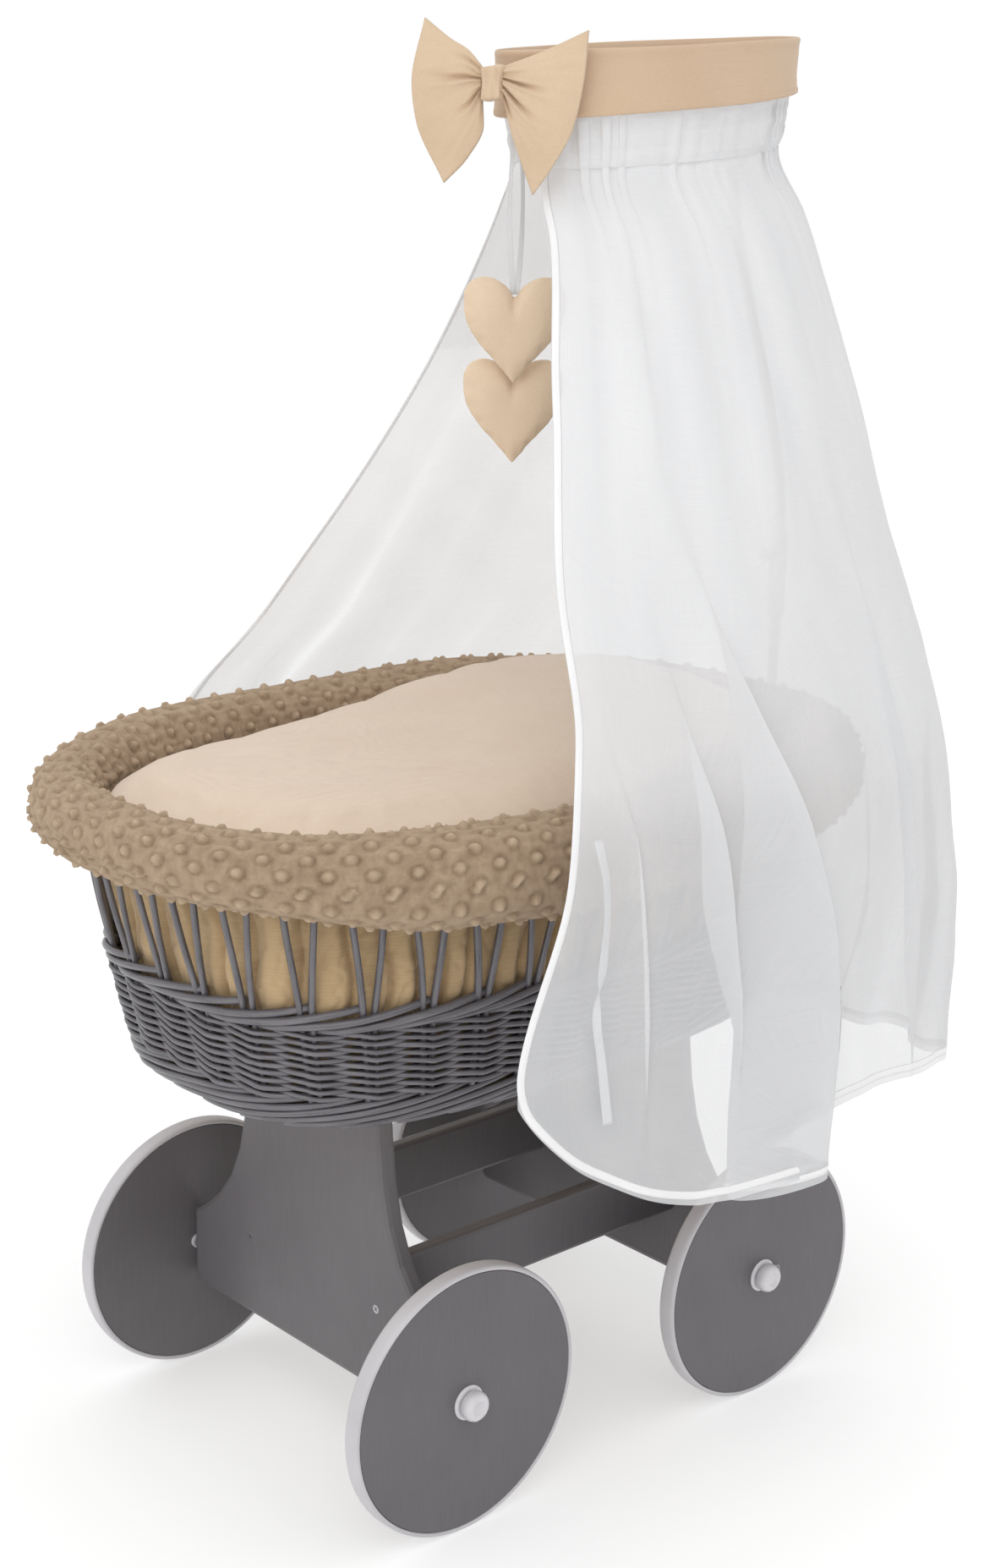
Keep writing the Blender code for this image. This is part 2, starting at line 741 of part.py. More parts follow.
def bedding():
    mattress = cushion(
        "mattress", 0.333, 0.196, lambda x, y: MATTRESS_BOTTOM, lambda x, y: MATTRESS_TOP, power=12
    )
    keep(mattress, WHITE)
    pillow_low = MATTRESS_TOP + 0.001
    pillow = cushion(
        "head_pillow",
        0.115,
        0.165,
        lambda x, y: pillow_low,
        lambda x, y: pillow_low + 0.030,
        centre_x=0.185,
        count=24,
    )
    keep(pillow, WHITE)
    duvet = cushion(
        "duvet",
        BEDDING_HALF_LENGTH,
        BEDDING_HALF_WIDTH,
        lambda x, y: MATTRESS_TOP + 0.002 + PILLOW_LIFT * eased(x, -0.03, 0.06),
        lambda x, y: DUVET_TOP + HEAD_RISE * eased(x, 0.02, 0.32),
        power=7,
        count=36,
    )
    keep(duvet, PALE)


# Canopy


def in_plane(points):
    return [Vector((x, 0, z)) for x, z in points]


def pole():
    lower = tube("pole_lower", smooth_route(in_plane(LOWER_POLE), 0.03), POLE_RADIUS)
    keep(lower, WHITE_METAL)
    upper = tube("pole_upper", smooth_route(in_plane(UPPER_POLE), 0.03), POLE_RADIUS)
    keep(upper, WHITE_METAL)
    sleeve = [
        (POLE_RADIUS + GAP, SLEEVE_TOP),
        (0.0090, SLEEVE_TOP),
        (0.0100, SLEEVE_TOP - 0.002),
        (0.0100, SLEEVE_BOTTOM + 0.002),
        (0.0090, SLEEVE_BOTTOM),
        (POLE_RADIUS + GAP, SLEEVE_BOTTOM),
        (POLE_RADIUS + GAP, SLEEVE_TOP),
    ]
    made = turned("pole_sleeve", sleeve, (POLE_X, 0, 0), (0, 0, 1), 24)
    start = (POLE_X - POLE_RADIUS + 0.001, 0, 0.875)
    cut(made, cylinder("clamp_bore", 0.0030 + GAP, start, (-1, 0, 0), 0.012, 12))
    keep(made, WHITE_METAL)


def clamp_screw():
    """A thumb screw through the sleeve's wall."""
    profile = [
        (0.0, 0.0190),
        (0.0060, 0.0190),
        (0.0072, 0.0178),
        (0.0072, 0.0090),
        (0.0060, 0.0080),
        (0.0030, 0.0080),
        (0.0030, 0.0),
        (0.0, 0.0),
    ]
    place = (POLE_X - POLE_RADIUS - GAP, 0, 0.875)
    keep(turned("clamp_screw", profile, place, (-1, 0, 0), 16), WHITE_METAL)


def pole_fixings():
    """Two screws that hold the foot of the pole to the rear panel, each in a saddle washer."""
    face = PANEL_X + PANEL_THICKNESS / 2
    for index, z in enumerate((0.258, 0.305), start=1):
        y_reach = 0.014
        saddle = box(
            f"pole_saddle_{index}",
            (face + GAP, -y_reach, z - 0.007),
            (face + 2 * POLE_RADIUS + 0.005, y_reach, z + 0.007),
        )
        round_edges(saddle, 0.0025)
        start = (POLE_FOOT_X, 0, z - 0.02)
        bore = cylinder(f"saddle_bore_{index}", POLE_RADIUS + GAP, start, (0, 0, 1), 0.04, 20)
        cut(saddle, bore)
        keep(saddle, WHITE_METAL)


def lean(x):
    """How far the ring's slope lifts what is fixed to it at x."""
    return RING_SLOPE * (x - RING_X)


def canopy_ring():
    points = oval(RING_HALF_LENGTH, RING_HALF_WIDTH, 2.0, 28, centre_x=RING_X, z=RING_Z)
    points = [Vector((p[0], p[1], p[2] + lean(p[0]))) for p in points]
    ring = tube("canopy_ring", points, RING_ROD_RADIUS, closed=True)
    ring.data.bevel_resolution = 1
    keep(ring, STEEL)


def canopy_band():
    """A band over the ring, deeper at the foot end, where it hangs lower."""
    rows = []
    for side in (-1, 1):
        row = oval(
            RING_HALF_LENGTH + RING_ROD_RADIUS + 0.0022,
            RING_HALF_WIDTH + RING_ROD_RADIUS + 0.0022,
            2.0,
            28,
            centre_x=RING_X,
            z=RING_Z,
        )
        for p in row:
            half = BAND_HALF_HEIGHT - BAND_TAPER * (p[0] - RING_X)
            p[2] += lean(p[0]) + side * half
        rows.append(row)
    keep(solid_shell(lofted("canopy_band", rows), BAND_THICKNESS), BEIGE)


def between(rows, z):
    """The veil's section at a height, read between its stated rows."""
    for above, below in zip(rows, rows[1:]):
        if z >= below[0]:
            share = (above[0] - z) / (above[0] - below[0])
            return [a + share * (b - a) for a, b in zip(above[1:], below[1:])]
    return rows[-1][1:]


def veil_hem(share):
    """The hem's height: level round the head, rising in a round corner to each free edge."""
    edge = min(share, 1 - share) / VEIL_CORNER_SHARE
    rise = VEIL_CORNER_RISE * max(0.0, 1 - edge) ** 2
    return VEIL_ROWS[-1][0] + rise


def veil():
    """One sheer sheet hung from the ring, round the head end, and open towards the foot end."""
    across, down = 20, 9
    top = VEIL_ROWS[0][0] - GAP
    rows = []
    for j in range(down + 1):
        row = []
        for i in range(across + 1):
            share = i / across
            z = top + (veil_hem(share) - top) * j / down
            centre_x, half_length, half_width, power, right, left = between(VEIL_ROWS, z)
            angle = -right + share * (right + left)
            c, s = math.cos(angle), math.sin(angle)
            x = centre_x + half_length * math.copysign(abs(c) ** (2 / power), c)
            y = half_width * math.copysign(abs(s) ** (2 / power), s)
            grip = eased(z, 1.15, 1.32)
            row.append(Vector((x, y, z + lean(x) * grip)))
        rows.append(row)
    keep(solid_shell(lofted("veil", rows, around=False), VEIL_THICKNESS), VOILE)


def bow():
    stand = Matrix(((1, 0, 0, 0), (0, 0, -1, 0), (0, 1, 0, 0), (0, 0, 0, 1)))
    place = Matrix.Translation(BOW_PLACE) @ Matrix.Rotation(BOW_TURN, 4, "Z") @ stand
    for name, outline in (("bow_right_lobe", BOW_NEAR_LOBE), ("bow_left_lobe", BOW_FAR_LOBE)):
        lobe = flat_outline(name, outline, BOW_THICKNESS)
        lobe.data.transform(place)
        keep(round_edges(lobe, 0.003), BEIGE)
    knot = box("bow_knot", (-0.0128, -0.0190, -0.0260), (0.0128, 0.0142, 0.0115))
    knot.data.transform(place)
    keep(round_edges(knot, 0.004), BEIGE)


def heart_outline():
    half = [Vector((x * HEART_WIDTH, z * HEART_HEIGHT, 0)) for x, z in HEART_HALF]
    side = smooth_route(half, 0.015)
    return [(p.x, p.y) for p in side] + [(-p.x, p.y) for p in reversed(side[1:-1])]


def hearts():
    """Two stuffed hearts, the upper one's tip sewn over the lower one's notch."""
    stand = Matrix(((1, 0, 0, 0), (0, 0, -1, 0), (0, 1, 0, 0), (0, 0, 0, 1)))
    spin = Matrix.Rotation(HEART_TURN, 4, "Z")
    for name, tip, forward in (
        ("heart_upper", UPPER_HEART_TIP, 1),
        ("heart_lower", LOWER_HEART_TIP, -1),
    ):
        heart = flat_outline(name, heart_outline(), HEART_THICKNESS)
        offset = spin @ Vector((0, -forward * (HEART_THICKNESS / 2 + GAP), 0))
        place = Matrix.Translation(Vector((HEART_X, HEART_Y, tip)) + offset)
        heart.data.transform(place @ spin @ stand)
        keep(round_edges(heart, 0.004, segments=1), BEIGE)
    notch = UPPER_HEART_TIP + HEART_HALF[-1][1] * HEART_HEIGHT + 0.006
    back = spin @ Vector((0, -(HEART_THICKNESS / 2 + GAP), 0))
    low = Vector((-RIBBON_WIDTH / 2, -0.0006, notch))
    high = Vector((RIBBON_WIDTH / 2, 0.0006, RIBBON_TOP))
    ribbon = box("heart_ribbon", low, high)
    ribbon.data.transform(Matrix.Translation((HEART_X + back.x, HEART_Y + back.y, 0)) @ spin)
    keep(ribbon, VOILE)


def veil_tie():
    keep(tube("veil_tie", smooth_route(TIE_POINTS, 0.015), TIE_RADIUS), VOILE)


def build_frame():
    end_panel("front_panel", -PANEL_X, -1)
    end_panel("rear_panel", PANEL_X, 1)
    for label, side in (("left", 1), ("right", -1)):
        side_rail(f"rail_{label}", side)
        for end, outward in (("front", -1), ("rear", 1)):
            rail_screw(f"rail_screw_{end}_{label}", outward, side)
    for name, (x, side) in AXLE_ENDS.items():
        wheel_set(name, x, side)


def build_basket():
    base_board()
    welded(border("bottom_border", 0.4440, (0.0065, 0.0155)))
    basket_wall()
    welded(border("top_border", 0.5475, (0.0065, 0.0100)))
    stake_lattice()
    liner()
    padded_roll()
    bedding()


def build_canopy():
    pole()
    clamp_screw()
    pole_fixings()
    canopy_ring()
    canopy_band()
    veil()
    bow()
    hearts()
    veil_tie()


build_frame()
build_basket()
build_canopy()
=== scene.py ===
"""The looks of a wicker baby cradle: woven basket, plush roll, bedding, veiled canopy and wheeled frame.

Metres, +Z up, +X towards the head end, and -Y towards the near side. The boards, axles, screws and
clamp are the CAD model's own objects with a finish. What is turned, woven or sewn stands for a CAD piece
and is made here at the same driving sizes.
"""

import math

import bmesh
import bpy
import numpy as np
from mathutils import Matrix, Vector


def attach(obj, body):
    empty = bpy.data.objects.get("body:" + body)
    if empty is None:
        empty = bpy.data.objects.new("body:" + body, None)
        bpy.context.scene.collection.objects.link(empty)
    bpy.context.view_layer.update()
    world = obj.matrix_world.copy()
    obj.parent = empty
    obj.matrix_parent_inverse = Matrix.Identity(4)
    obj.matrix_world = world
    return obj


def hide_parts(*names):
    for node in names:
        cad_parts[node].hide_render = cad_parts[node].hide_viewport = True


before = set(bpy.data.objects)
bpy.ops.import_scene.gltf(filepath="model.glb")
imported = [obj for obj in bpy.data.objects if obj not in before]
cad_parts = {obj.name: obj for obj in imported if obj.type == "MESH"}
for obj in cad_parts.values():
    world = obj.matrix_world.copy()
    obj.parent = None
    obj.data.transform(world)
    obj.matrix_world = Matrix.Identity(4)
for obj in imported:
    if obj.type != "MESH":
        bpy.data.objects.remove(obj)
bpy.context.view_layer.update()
TURN = 2 * math.pi

# Sizes that the soft pieces share with the CAD model
BASKET_X = -0.02
WALL_POWER, RIM_POWER = 3.0, 2.5
BASE_Z, WALL_TOP, RIM_Z = 0.4365, 0.5365, 0.690
BASE_OVAL, RIM_OVAL = (0.348, 0.211), (0.405, 0.271)
ROLL_OVAL, ROLL_Z = (0.412, 0.280), 0.695
RING_X, RING_Z, RING_OVAL, RING_SLOPE = 0.220, 1.3945, (0.1738, 0.1150), 0.078
STAKE_PAIRS = 36
FACING_CAMERA = math.radians(-42)
HEART_X, HEART_Y = 0.062, 0.0244
RIBBON_X, RIBBON_Y, RIBBON_TOP, RIBBON_FOOT = 0.0551, 0.0167, 1.3500, 1.1785


# Shapes


def random(seed):
    return np.random.default_rng(seed)


def smooth_step(value, low, high):
    """Climbs smoothly from 0 at low to 1 at high."""
    share = np.clip((value - low) / (high - low), 0, 1)
    return share * share * (3 - 2 * share)


def smooth_between(x, xs, ys):
    """A curve through (xs, ys) that never overshoots; ys may have several columns."""
    xs, ys = np.asarray(xs, float), np.asarray(ys, float).reshape(len(xs), -1)
    gaps = np.diff(xs)[:, None]
    slopes = np.diff(ys, axis=0) / gaps
    inner = np.where(
        slopes[:-1] * slopes[1:] > 0,
        2 * slopes[:-1] * slopes[1:] / (slopes[:-1] + slopes[1:] + 1e-30),
        0,
    )
    tangents = np.concatenate([slopes[:1], inner, slopes[-1:]])
    x = np.clip(np.asarray(x, float), xs[0], xs[-1])
    i = np.clip(np.searchsorted(xs, x, side="right") - 1, 0, len(xs) - 2)
    t = ((x - xs[i]) / gaps[i, 0])[..., None]
    h = gaps[i]
    value = (1 + 2 * t) * (1 - t) ** 2 * ys[i] + t * (1 - t) ** 2 * h * tangents[i]
    value = value + t**2 * (3 - 2 * t) * ys[i + 1] + t**2 * (t - 1) * h * tangents[i + 1]
    return value[..., 0] if ys.shape[1] == 1 else value


def ripple(x, y, seed, waves=9, stretch=1.0):
    """Smooth repeatable unevenness between about -1 and 1: a sum of slanted waves.
    It is the same again where x has grown by 1, so that a ring closes."""
    draw = random(seed)
    total = 0.0
    for i in range(waves):
        along = draw.integers(-2 - i, 3 + i)
        across = draw.normal() * (1 + i) * stretch
        phase = draw.uniform(0, TURN)
        total = total + np.sin(TURN * (along * x + across * y) + phase) / (1 + 0.35 * i)
    return total / 2.6


def distances(path):
    """How far along a path each of its points is."""
    return np.concatenate([[0], np.cumsum(np.linalg.norm(np.diff(path, axis=0), axis=1))])


def superellipse(angle, half_length, half_width, power):
    c, s = np.cos(angle), np.sin(angle)
    x = half_length * np.sign(c) * np.abs(c) ** (2 / power)
    y = half_width * np.sign(s) * np.abs(s) ** (2 / power)
    return x, y


def even_oval(half_length, half_width, power, shares):
    """Points of a superellipse at shares of its way round, and the outward normals there."""
    angle = np.linspace(0, TURN, 4001)
    x, y = superellipse(angle, half_length, half_width, power)
    step = np.hypot(np.diff(x), np.diff(y))
    walked = np.concatenate([[0], np.cumsum(step)]) / step.sum()
    wanted = np.mod(shares, 1.0)
    px, py = np.interp(wanted, walked, x), np.interp(wanted, walked, y)
    back, ahead = np.mod(wanted - 0.002, 1), np.mod(wanted + 0.002, 1)
    tx = np.interp(ahead, walked, x) - np.interp(back, walked, x)
    ty = np.interp(ahead, walked, y) - np.interp(back, walked, y)
    size = np.hypot(tx, ty)
    return px, py, ty / size, -tx / size, step.sum()


def mesh_object(name, points, faces, material, uv=None):
    """A mesh from an array of points and a list of faces, with UVs in metres for each point if given."""
    mesh = bpy.data.meshes.new(name)
    mesh.from_pydata(np.asarray(points, float).reshape(-1, 3).tolist(), [], [list(f) for f in faces])
    mesh.update()
    if uv is not None:
        layer = mesh.uv_layers.new(name="cloth")
        corner = np.zeros(len(mesh.loops), np.int32)
        mesh.loops.foreach_get("vertex_index", corner)
        layer.data.foreach_set("uv", np.asarray(uv, np.float32).reshape(-1, 2)[corner].ravel())
    mesh.shade_smooth()
    obj = bpy.data.objects.new(name, mesh)
    bpy.context.scene.collection.objects.link(obj)
    mesh.materials.append(material)
    return obj


def grid_faces(rows, columns, rows_close=False, columns_close=False, first=0):
    """The quads between neighbours in a grid of points."""
    i, j = np.meshgrid(
        np.arange(rows if rows_close else rows - 1),
        np.arange(columns if columns_close else columns - 1),
        indexing="ij",
    )
    below, beside = (i + 1) % rows, (j + 1) % columns
    quads = np.stack(
        [i * columns + j, i * columns + beside, below * columns + beside, below * columns + j], -1
    )
    return (quads.reshape(-1, 4) + first).tolist()


def tube_faces(rows, around, first=0):
    """A tube's sides and then its two end caps."""
    caps = [list(range(around))[::-1], [(rows - 1) * around + k for k in range(around)]]
    return grid_faces(rows, around, False, True, first) + [[first + k for k in cap] for cap in caps]


def grid_object(name, points, material, uv=None, rows_close=False, columns_close=False):
    rows, columns = points.shape[:2]
    faces = grid_faces(rows, columns, rows_close, columns_close)
    return mesh_object(name, points, faces, material, uv)


def sweep(paths, outward, radius, sides=8, closed=False, flat=1.0):
    """Round rods along paths: (points, faces, uv) in one set. outward gives a side direction at each point.
    A radius may be one number or one for each path, and flat squashes the section along outward."""
    all_points, all_faces, all_uv, first = [], [], [], 0
    angle = np.arange(sides) * TURN / sides
    for index, path in enumerate(paths):
        size = radius[index] if np.ndim(radius) else radius
        side = outward[index]
        swell = np.ones(len(path)) * size
        if closed:
            along = np.roll(path, -1, 0) - np.roll(path, 1, 0)
        else:
            along = np.gradient(path, axis=0)
            tip = along[0] / np.linalg.norm(along[0]) * size, along[-1] / np.linalg.norm(along[-1]) * size
            path = np.concatenate([[path[0] - tip[0] * 0.5, path[0] - tip[0] * 0.3], path])
            path = np.concatenate([path, [path[-1] + tip[1] * 0.3, path[-1] + tip[1] * 0.5]])
            along = np.concatenate([along[:1], along[:1], along, along[-1:], along[-1:]])
            side = np.concatenate([side[:1], side[:1], side, side[-1:], side[-1:]])
            swell = np.concatenate([[0.25 * size, 0.8 * size], swell, [0.8 * size, 0.25 * size]])
        along = along / np.linalg.norm(along, axis=1)[:, None]
        normal = side - (side * along).sum(1)[:, None] * along
        normal /= np.linalg.norm(normal, axis=1)[:, None]
        across = np.cross(along, normal)
        ring = path[:, None] + swell[:, None, None] * (
            flat * np.cos(angle)[None, :, None] * normal[:, None]
            + np.sin(angle)[None, :, None] * across[:, None]
        )
        walked = distances(path)
        u = np.broadcast_to(walked[:, None] + index * 0.37, ring.shape[:2])
        v = np.broadcast_to(angle[None] * size, ring.shape[:2])
        all_points.append(ring.reshape(-1, 3))
        all_uv.append(np.stack([u, v], -1).reshape(-1, 2))
        if closed:
            all_faces += grid_faces(len(path), sides, True, True, first)
        else:
            all_faces += tube_faces(len(path), sides, first)
        first += ring.shape[0] * sides
    return np.concatenate(all_points), all_faces, np.concatenate(all_uv)


def rods(name, paths, outward, radius, material, sides=8, closed=False, flat=1.0):
    points, faces, uv = sweep(paths, outward, radius, sides, closed, flat)
    return mesh_object(name, points, faces, material, uv)


def turned(name, profile, centre, side, material, steps):
    """A closed (radius, outward height) profile turned about the axle's line."""
    profile = np.array(profile, float)
    angle = np.arange(steps) * TURN / steps
    points = np.zeros((len(profile), steps, 3))
    points[..., 0] = centre[0] + profile[:, :1] * np.cos(angle)
    points[..., 1] = centre[1] + side * profile[:, 1:]
    points[..., 2] = centre[2] + side * profile[:, :1] * np.sin(angle)
    obj = grid_object(name, points, material, rows_close=True, columns_close=True)
    obj.data.set_sharp_from_angle(angle=math.radians(40))
    return obj


def modifier(obj, kind, **settings):
    made = obj.modifiers.new(kind.lower(), kind)
    for key, value in settings.items():
        setattr(made, key, value)
    return made


def applied(obj):
    """Turns what the modifiers show into the object's own mesh."""
    graph = bpy.context.evaluated_depsgraph_get()
    mesh = bpy.data.meshes.new_from_object(obj.evaluated_get(graph))
    obj.modifiers.clear()
    obj.data = mesh
    return obj


def placed(obj, body, slot, *nodes):
    """The piece rides on its body and stands for CAD nodes, which are hidden. slot is not used."""
    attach(obj, body)
    if nodes:
        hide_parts(*nodes)
    return obj


# Materials


def linear(*colour):
    """A colour as it looks on a screen, 0 to 255, as the renderer's own values."""
    return tuple(((c / 255 + 0.055) / 1.055) ** 2.4 if c > 10 else c / 255 / 12.92 for c in colour)


class Finish:
    """A Principled material under construction, with a short way to add nodes."""

    def __init__(self, name, roughness, **inputs):
        self.material = bpy.data.materials.new(name)
        self.material.use_nodes = True
        self.tree = self.material.node_tree
        self.shader = self.tree.nodes["Principled BSDF"]
        self.shader.inputs["Roughness"].default_value = roughness
        for key, value in inputs.items():
            self.shader.inputs[key.replace("_", " ")].default_value = value
        self.place = self.add("TexCoord").outputs["Object"]

    def add(self, kind, inputs=None, **settings):
        node = self.tree.nodes.new("ShaderNode" + kind)
        for key, value in settings.items():
            setattr(node, key, value)
        for key, value in (inputs or {}).items():
            if isinstance(value, bpy.types.NodeSocket):
                self.tree.links.new(value, node.inputs[key])
            else:
                node.inputs[key].default_value = value
        return node

    def flat(self):
        """The piece's UVs, which are in metres."""
        return self.add("UVMap", uv_map="cloth").outputs["UV"]

    def scaled(self, where, scale):
        return self.add("Mapping", {"Vector": where, "Scale": scale}).outputs["Vector"]

    def noise(self, where, scale, detail=3.0, roughness=0.5):
        return self.add(
            "TexNoise",
            {"Vector": where, "Scale": scale, "Detail": detail, "Roughness": roughness},
        ).outputs["Fac"]

    def sum(self, first, second, first_share=1.0, second_share=1.0):
        scaled = self.add("Math", {0: first, 1: first_share}, operation="MULTIPLY").outputs[0]
        return self.add(
            "Math", {0: second, 1: second_share, 2: scaled}, operation="MULTIPLY_ADD"
        ).outputs[0]

    def colours(self, value, low, high, low_at=0.3, high_at=0.7):
        """Colours the surface from low to high as the value climbs."""
        ramp = self.add("ValToRGB", {"Fac": value})
        ramp.color_ramp.elements[0].position = low_at
        ramp.color_ramp.elements[1].position = high_at
        ramp.color_ramp.elements[0].color = (*low, 1)
        ramp.color_ramp.elements[1].color = (*high, 1)
        self.tree.links.new(ramp.outputs["Color"], self.shader.inputs["Base Color"])
        return ramp.outputs["Color"]

    def relief(self, height, distance, strength=1.0, under=None):
        inputs = {"Height": height, "Distance": distance, "Strength": strength}
        if under is not None:
            inputs["Normal"] = under
        normal = self.add("Bump", inputs).outputs["Normal"]
        self.tree.links.new(normal, self.shader.inputs["Normal"])
        return normal

    def rough(self, value, low, high):
        spread = self.add(
            "MapRange", {"Value": value, "To Min": low, "To Max": high}
        ).outputs["Result"]
        self.tree.links.new(spread, self.shader.inputs["Roughness"])


def paint_finish():
    """Satin dark grey paint over board, with the fine streaks that a roller leaves."""
    made = Finish("dark_grey_paint", 0.42, Specular_IOR_Level=0.42)
    streaks = made.noise(made.scaled(made.place, (900, 900, 26)), 1.0, 2.0)
    cloud = made.noise(made.place, 9.0, 4.0)
    peel = made.noise(made.place, 420.0, 2.0)
    made.colours(made.sum(streaks, cloud, 0.45, 0.55), linear(92, 89, 92), linear(104, 101, 104))
    made.relief(made.sum(streaks, peel, 0.5, 0.5), 0.00012, 0.5)
    made.rough(cloud, 0.38, 0.5)
    return made.material


def rubber_finish():
    """Pale grey edging with a soft moulded surface."""
    made = Finish("pale_rubber", 0.5, Specular_IOR_Level=0.4)
    grain = made.noise(made.place, 700.0, 3.0)
    cloud = made.noise(made.place, 14.0, 3.0)
    made.colours(made.sum(grain, cloud, 0.25, 0.75), linear(182, 180, 183), linear(197, 195, 198))
    made.relief(grain, 0.00008, 0.4)
    made.rough(cloud, 0.42, 0.58)
    return made.material


def plastic_finish():
    made = Finish("pale_plastic", 0.36, Specular_IOR_Level=0.5)
    cloud = made.noise(made.place, 60.0, 3.0)
    made.colours(cloud, linear(200, 198, 202), linear(214, 212, 215))
    made.relief(made.noise(made.place, 900.0, 2.0), 0.00004, 0.4)
    made.rough(cloud, 0.3, 0.42)
    return made.material


def metal_finish(name, low, high, roughness, metallic=1.0):
    made = Finish(name, roughness, Metallic=metallic)
    scratches = made.noise(made.scaled(made.place, (2500, 2500, 160)), 1.0, 2.0)
    cloud = made.noise(made.place, 40.0, 3.0)
    made.colours(made.sum(scratches, cloud, 0.5, 0.5), low, high)
    made.relief(scratches, 0.00003, 0.4)
    made.rough(cloud, roughness - 0.06, roughness + 0.08)
    return made.material


def wood_finish():
    """Raw thin board under the basket."""
    made = Finish("plywood", 0.62)
    grain = made.noise(made.scaled(made.place, (6, 160, 160)), 1.0, 5.0, 0.6)
    made.colours(grain, linear(176, 144, 104), linear(214, 188, 148), 0.35, 0.65)
    made.relief(grain, 0.0002, 0.5)
    return made.material


def wicker_finish():
    """Willow rods under grey paint: streaks along each rod, small knots and a satin gloss."""
    made = Finish("grey_wicker", 0.32, Specular_IOR_Level=0.78)
    rod = made.flat()
    streaks = made.noise(made.scaled(rod, (45, 2600, 1)), 1.0, 3.0)
    blotch = made.noise(made.scaled(rod, (22, 90, 1)), 1.0, 4.0)
    knots = made.add("TexVoronoi", {"Vector": made.scaled(rod, (16, 60, 1)), "Scale": 1.0})
    knot = made.add(
        "MapRange", {"Value": knots.outputs["Distance"], "From Max": 0.12, "To Min": 1.0, "To Max": 0.0}
    ).outputs["Result"]
    tone = made.sum(streaks, blotch, 0.4, 0.6)
    made.colours(made.sum(tone, knot, 1.0, -0.15), linear(66, 64, 68), linear(112, 109, 114), 0.32, 0.66)
    first = made.relief(streaks, 0.00016, 0.7)
    made.relief(knot, 0.0005, 0.6, under=first)
    made.rough(blotch, 0.20, 0.38)
    return made.material


def cotton(name, low, high, pitch, where=None, relief=0.00018):
    """Plain-weave cotton: over-and-under threads at a pitch, uneven threads and faint creases."""
    made = Finish(name, 0.86, Sheen_Weight=0.25, Sheen_Roughness=0.45, Specular_IOR_Level=0.2)
    cloth = made.flat() if where == "uv" else made.place
    warp, weft = (
        made.add(
            "TexWave", {"Vector": cloth, "Scale": 0.5 / pitch, "Distortion": 0.6, "Detail": 1.0},
            wave_type="BANDS", bands_direction=direction, wave_profile="SIN",
        ).outputs["Fac"]
        for direction in ("X", "Y" if where == "uv" else "Z")
    )
    weave = made.add("Math", {0: warp, 1: weft}, operation="MULTIPLY").outputs[0]
    threads = made.noise(made.scaled(cloth, (18, 900, 900 if where != "uv" else 1)), 1.0, 3.0)
    cloud = made.noise(made.place, 11.0, 4.0)
    tone = made.sum(made.sum(threads, cloud, 0.5, 0.5), weave, 0.9, 0.12)
    made.colours(tone, linear(*low), linear(*high), 0.3, 0.72)
    creases = made.noise(made.scaled(made.place, (26, 26, 14)), 1.0, 4.0, 0.55)
    first = made.relief(weave, relief, 0.6)
    made.relief(creases, 0.003, 0.25, under=first)
    return made.material


def plush_finish():
    """Short dense pile and a soft sheen, with painted light from the dots' height: a painted highlight on
    each raised dot and painted shade in the ring round it.
    """
    made = Finish(
        "brown_plush", 0.95, Sheen_Weight=0.5, Sheen_Roughness=0.5, Specular_IOR_Level=0.1
    )
    made.shader.inputs["Sheen Tint"].default_value = (*linear(235, 214, 192), 1)
    pile = made.noise(made.place, 1500.0, 4.0, 0.7)
    nap = made.noise(made.scaled(made.place, (90, 90, 60)), 1.0, 4.0, 0.6)
    painted_dot_light = made.add("Attribute", attribute_name="dot_highlight_and_shade").outputs["Fac"]
    # The dots' height paints a highlight on each dot and shade in the ring round it
    tone = made.sum(made.sum(pile, nap, 0.45, 0.6), painted_dot_light, 0.88, 0.145)
    made.colours(tone, linear(133, 109, 86), linear(205, 182, 155), 0.24, 0.78)
    first = made.relief(pile, 0.0011, 0.9)
    made.relief(nap, 0.002, 0.5, under=first)
    return made.material


def voile_finish(name, clear=None, pitch=0.0006):
    """Sheer white cloth of fine uneven threads. Where clear is None, the mesh says how dense it is."""
    made = Finish(name, 0.75, Specular_IOR_Level=0.15, Sheen_Weight=0.15)
    cloth = made.flat()
    warp = made.noise(made.scaled(cloth, (1 / pitch, 14, 1)), 1.0, 2.0)
    weft = made.noise(made.scaled(cloth, (14, 1 / pitch, 1)), 1.0, 2.0)
    cloud = made.noise(made.scaled(cloth, (7, 3, 1)), 1.0, 3.0)
    threads = made.sum(warp, weft, 0.5, 0.5)
    made.colours(made.sum(threads, cloud, 0.5, 0.5), linear(215, 216, 218), linear(228, 228, 229))
    weave = made.add(
        "MapRange", {"Value": threads, "From Min": 0.3, "From Max": 0.7, "To Min": -0.02, "To Max": 0.02}
    ).outputs["Result"]
    body = clear or made.add("Attribute", attribute_name="opacity").outputs["Fac"]
    made.tree.links.new(made.sum(weave, body), made.shader.inputs["Alpha"])
    made.relief(threads, 0.00005, 0.3)
    return made.material


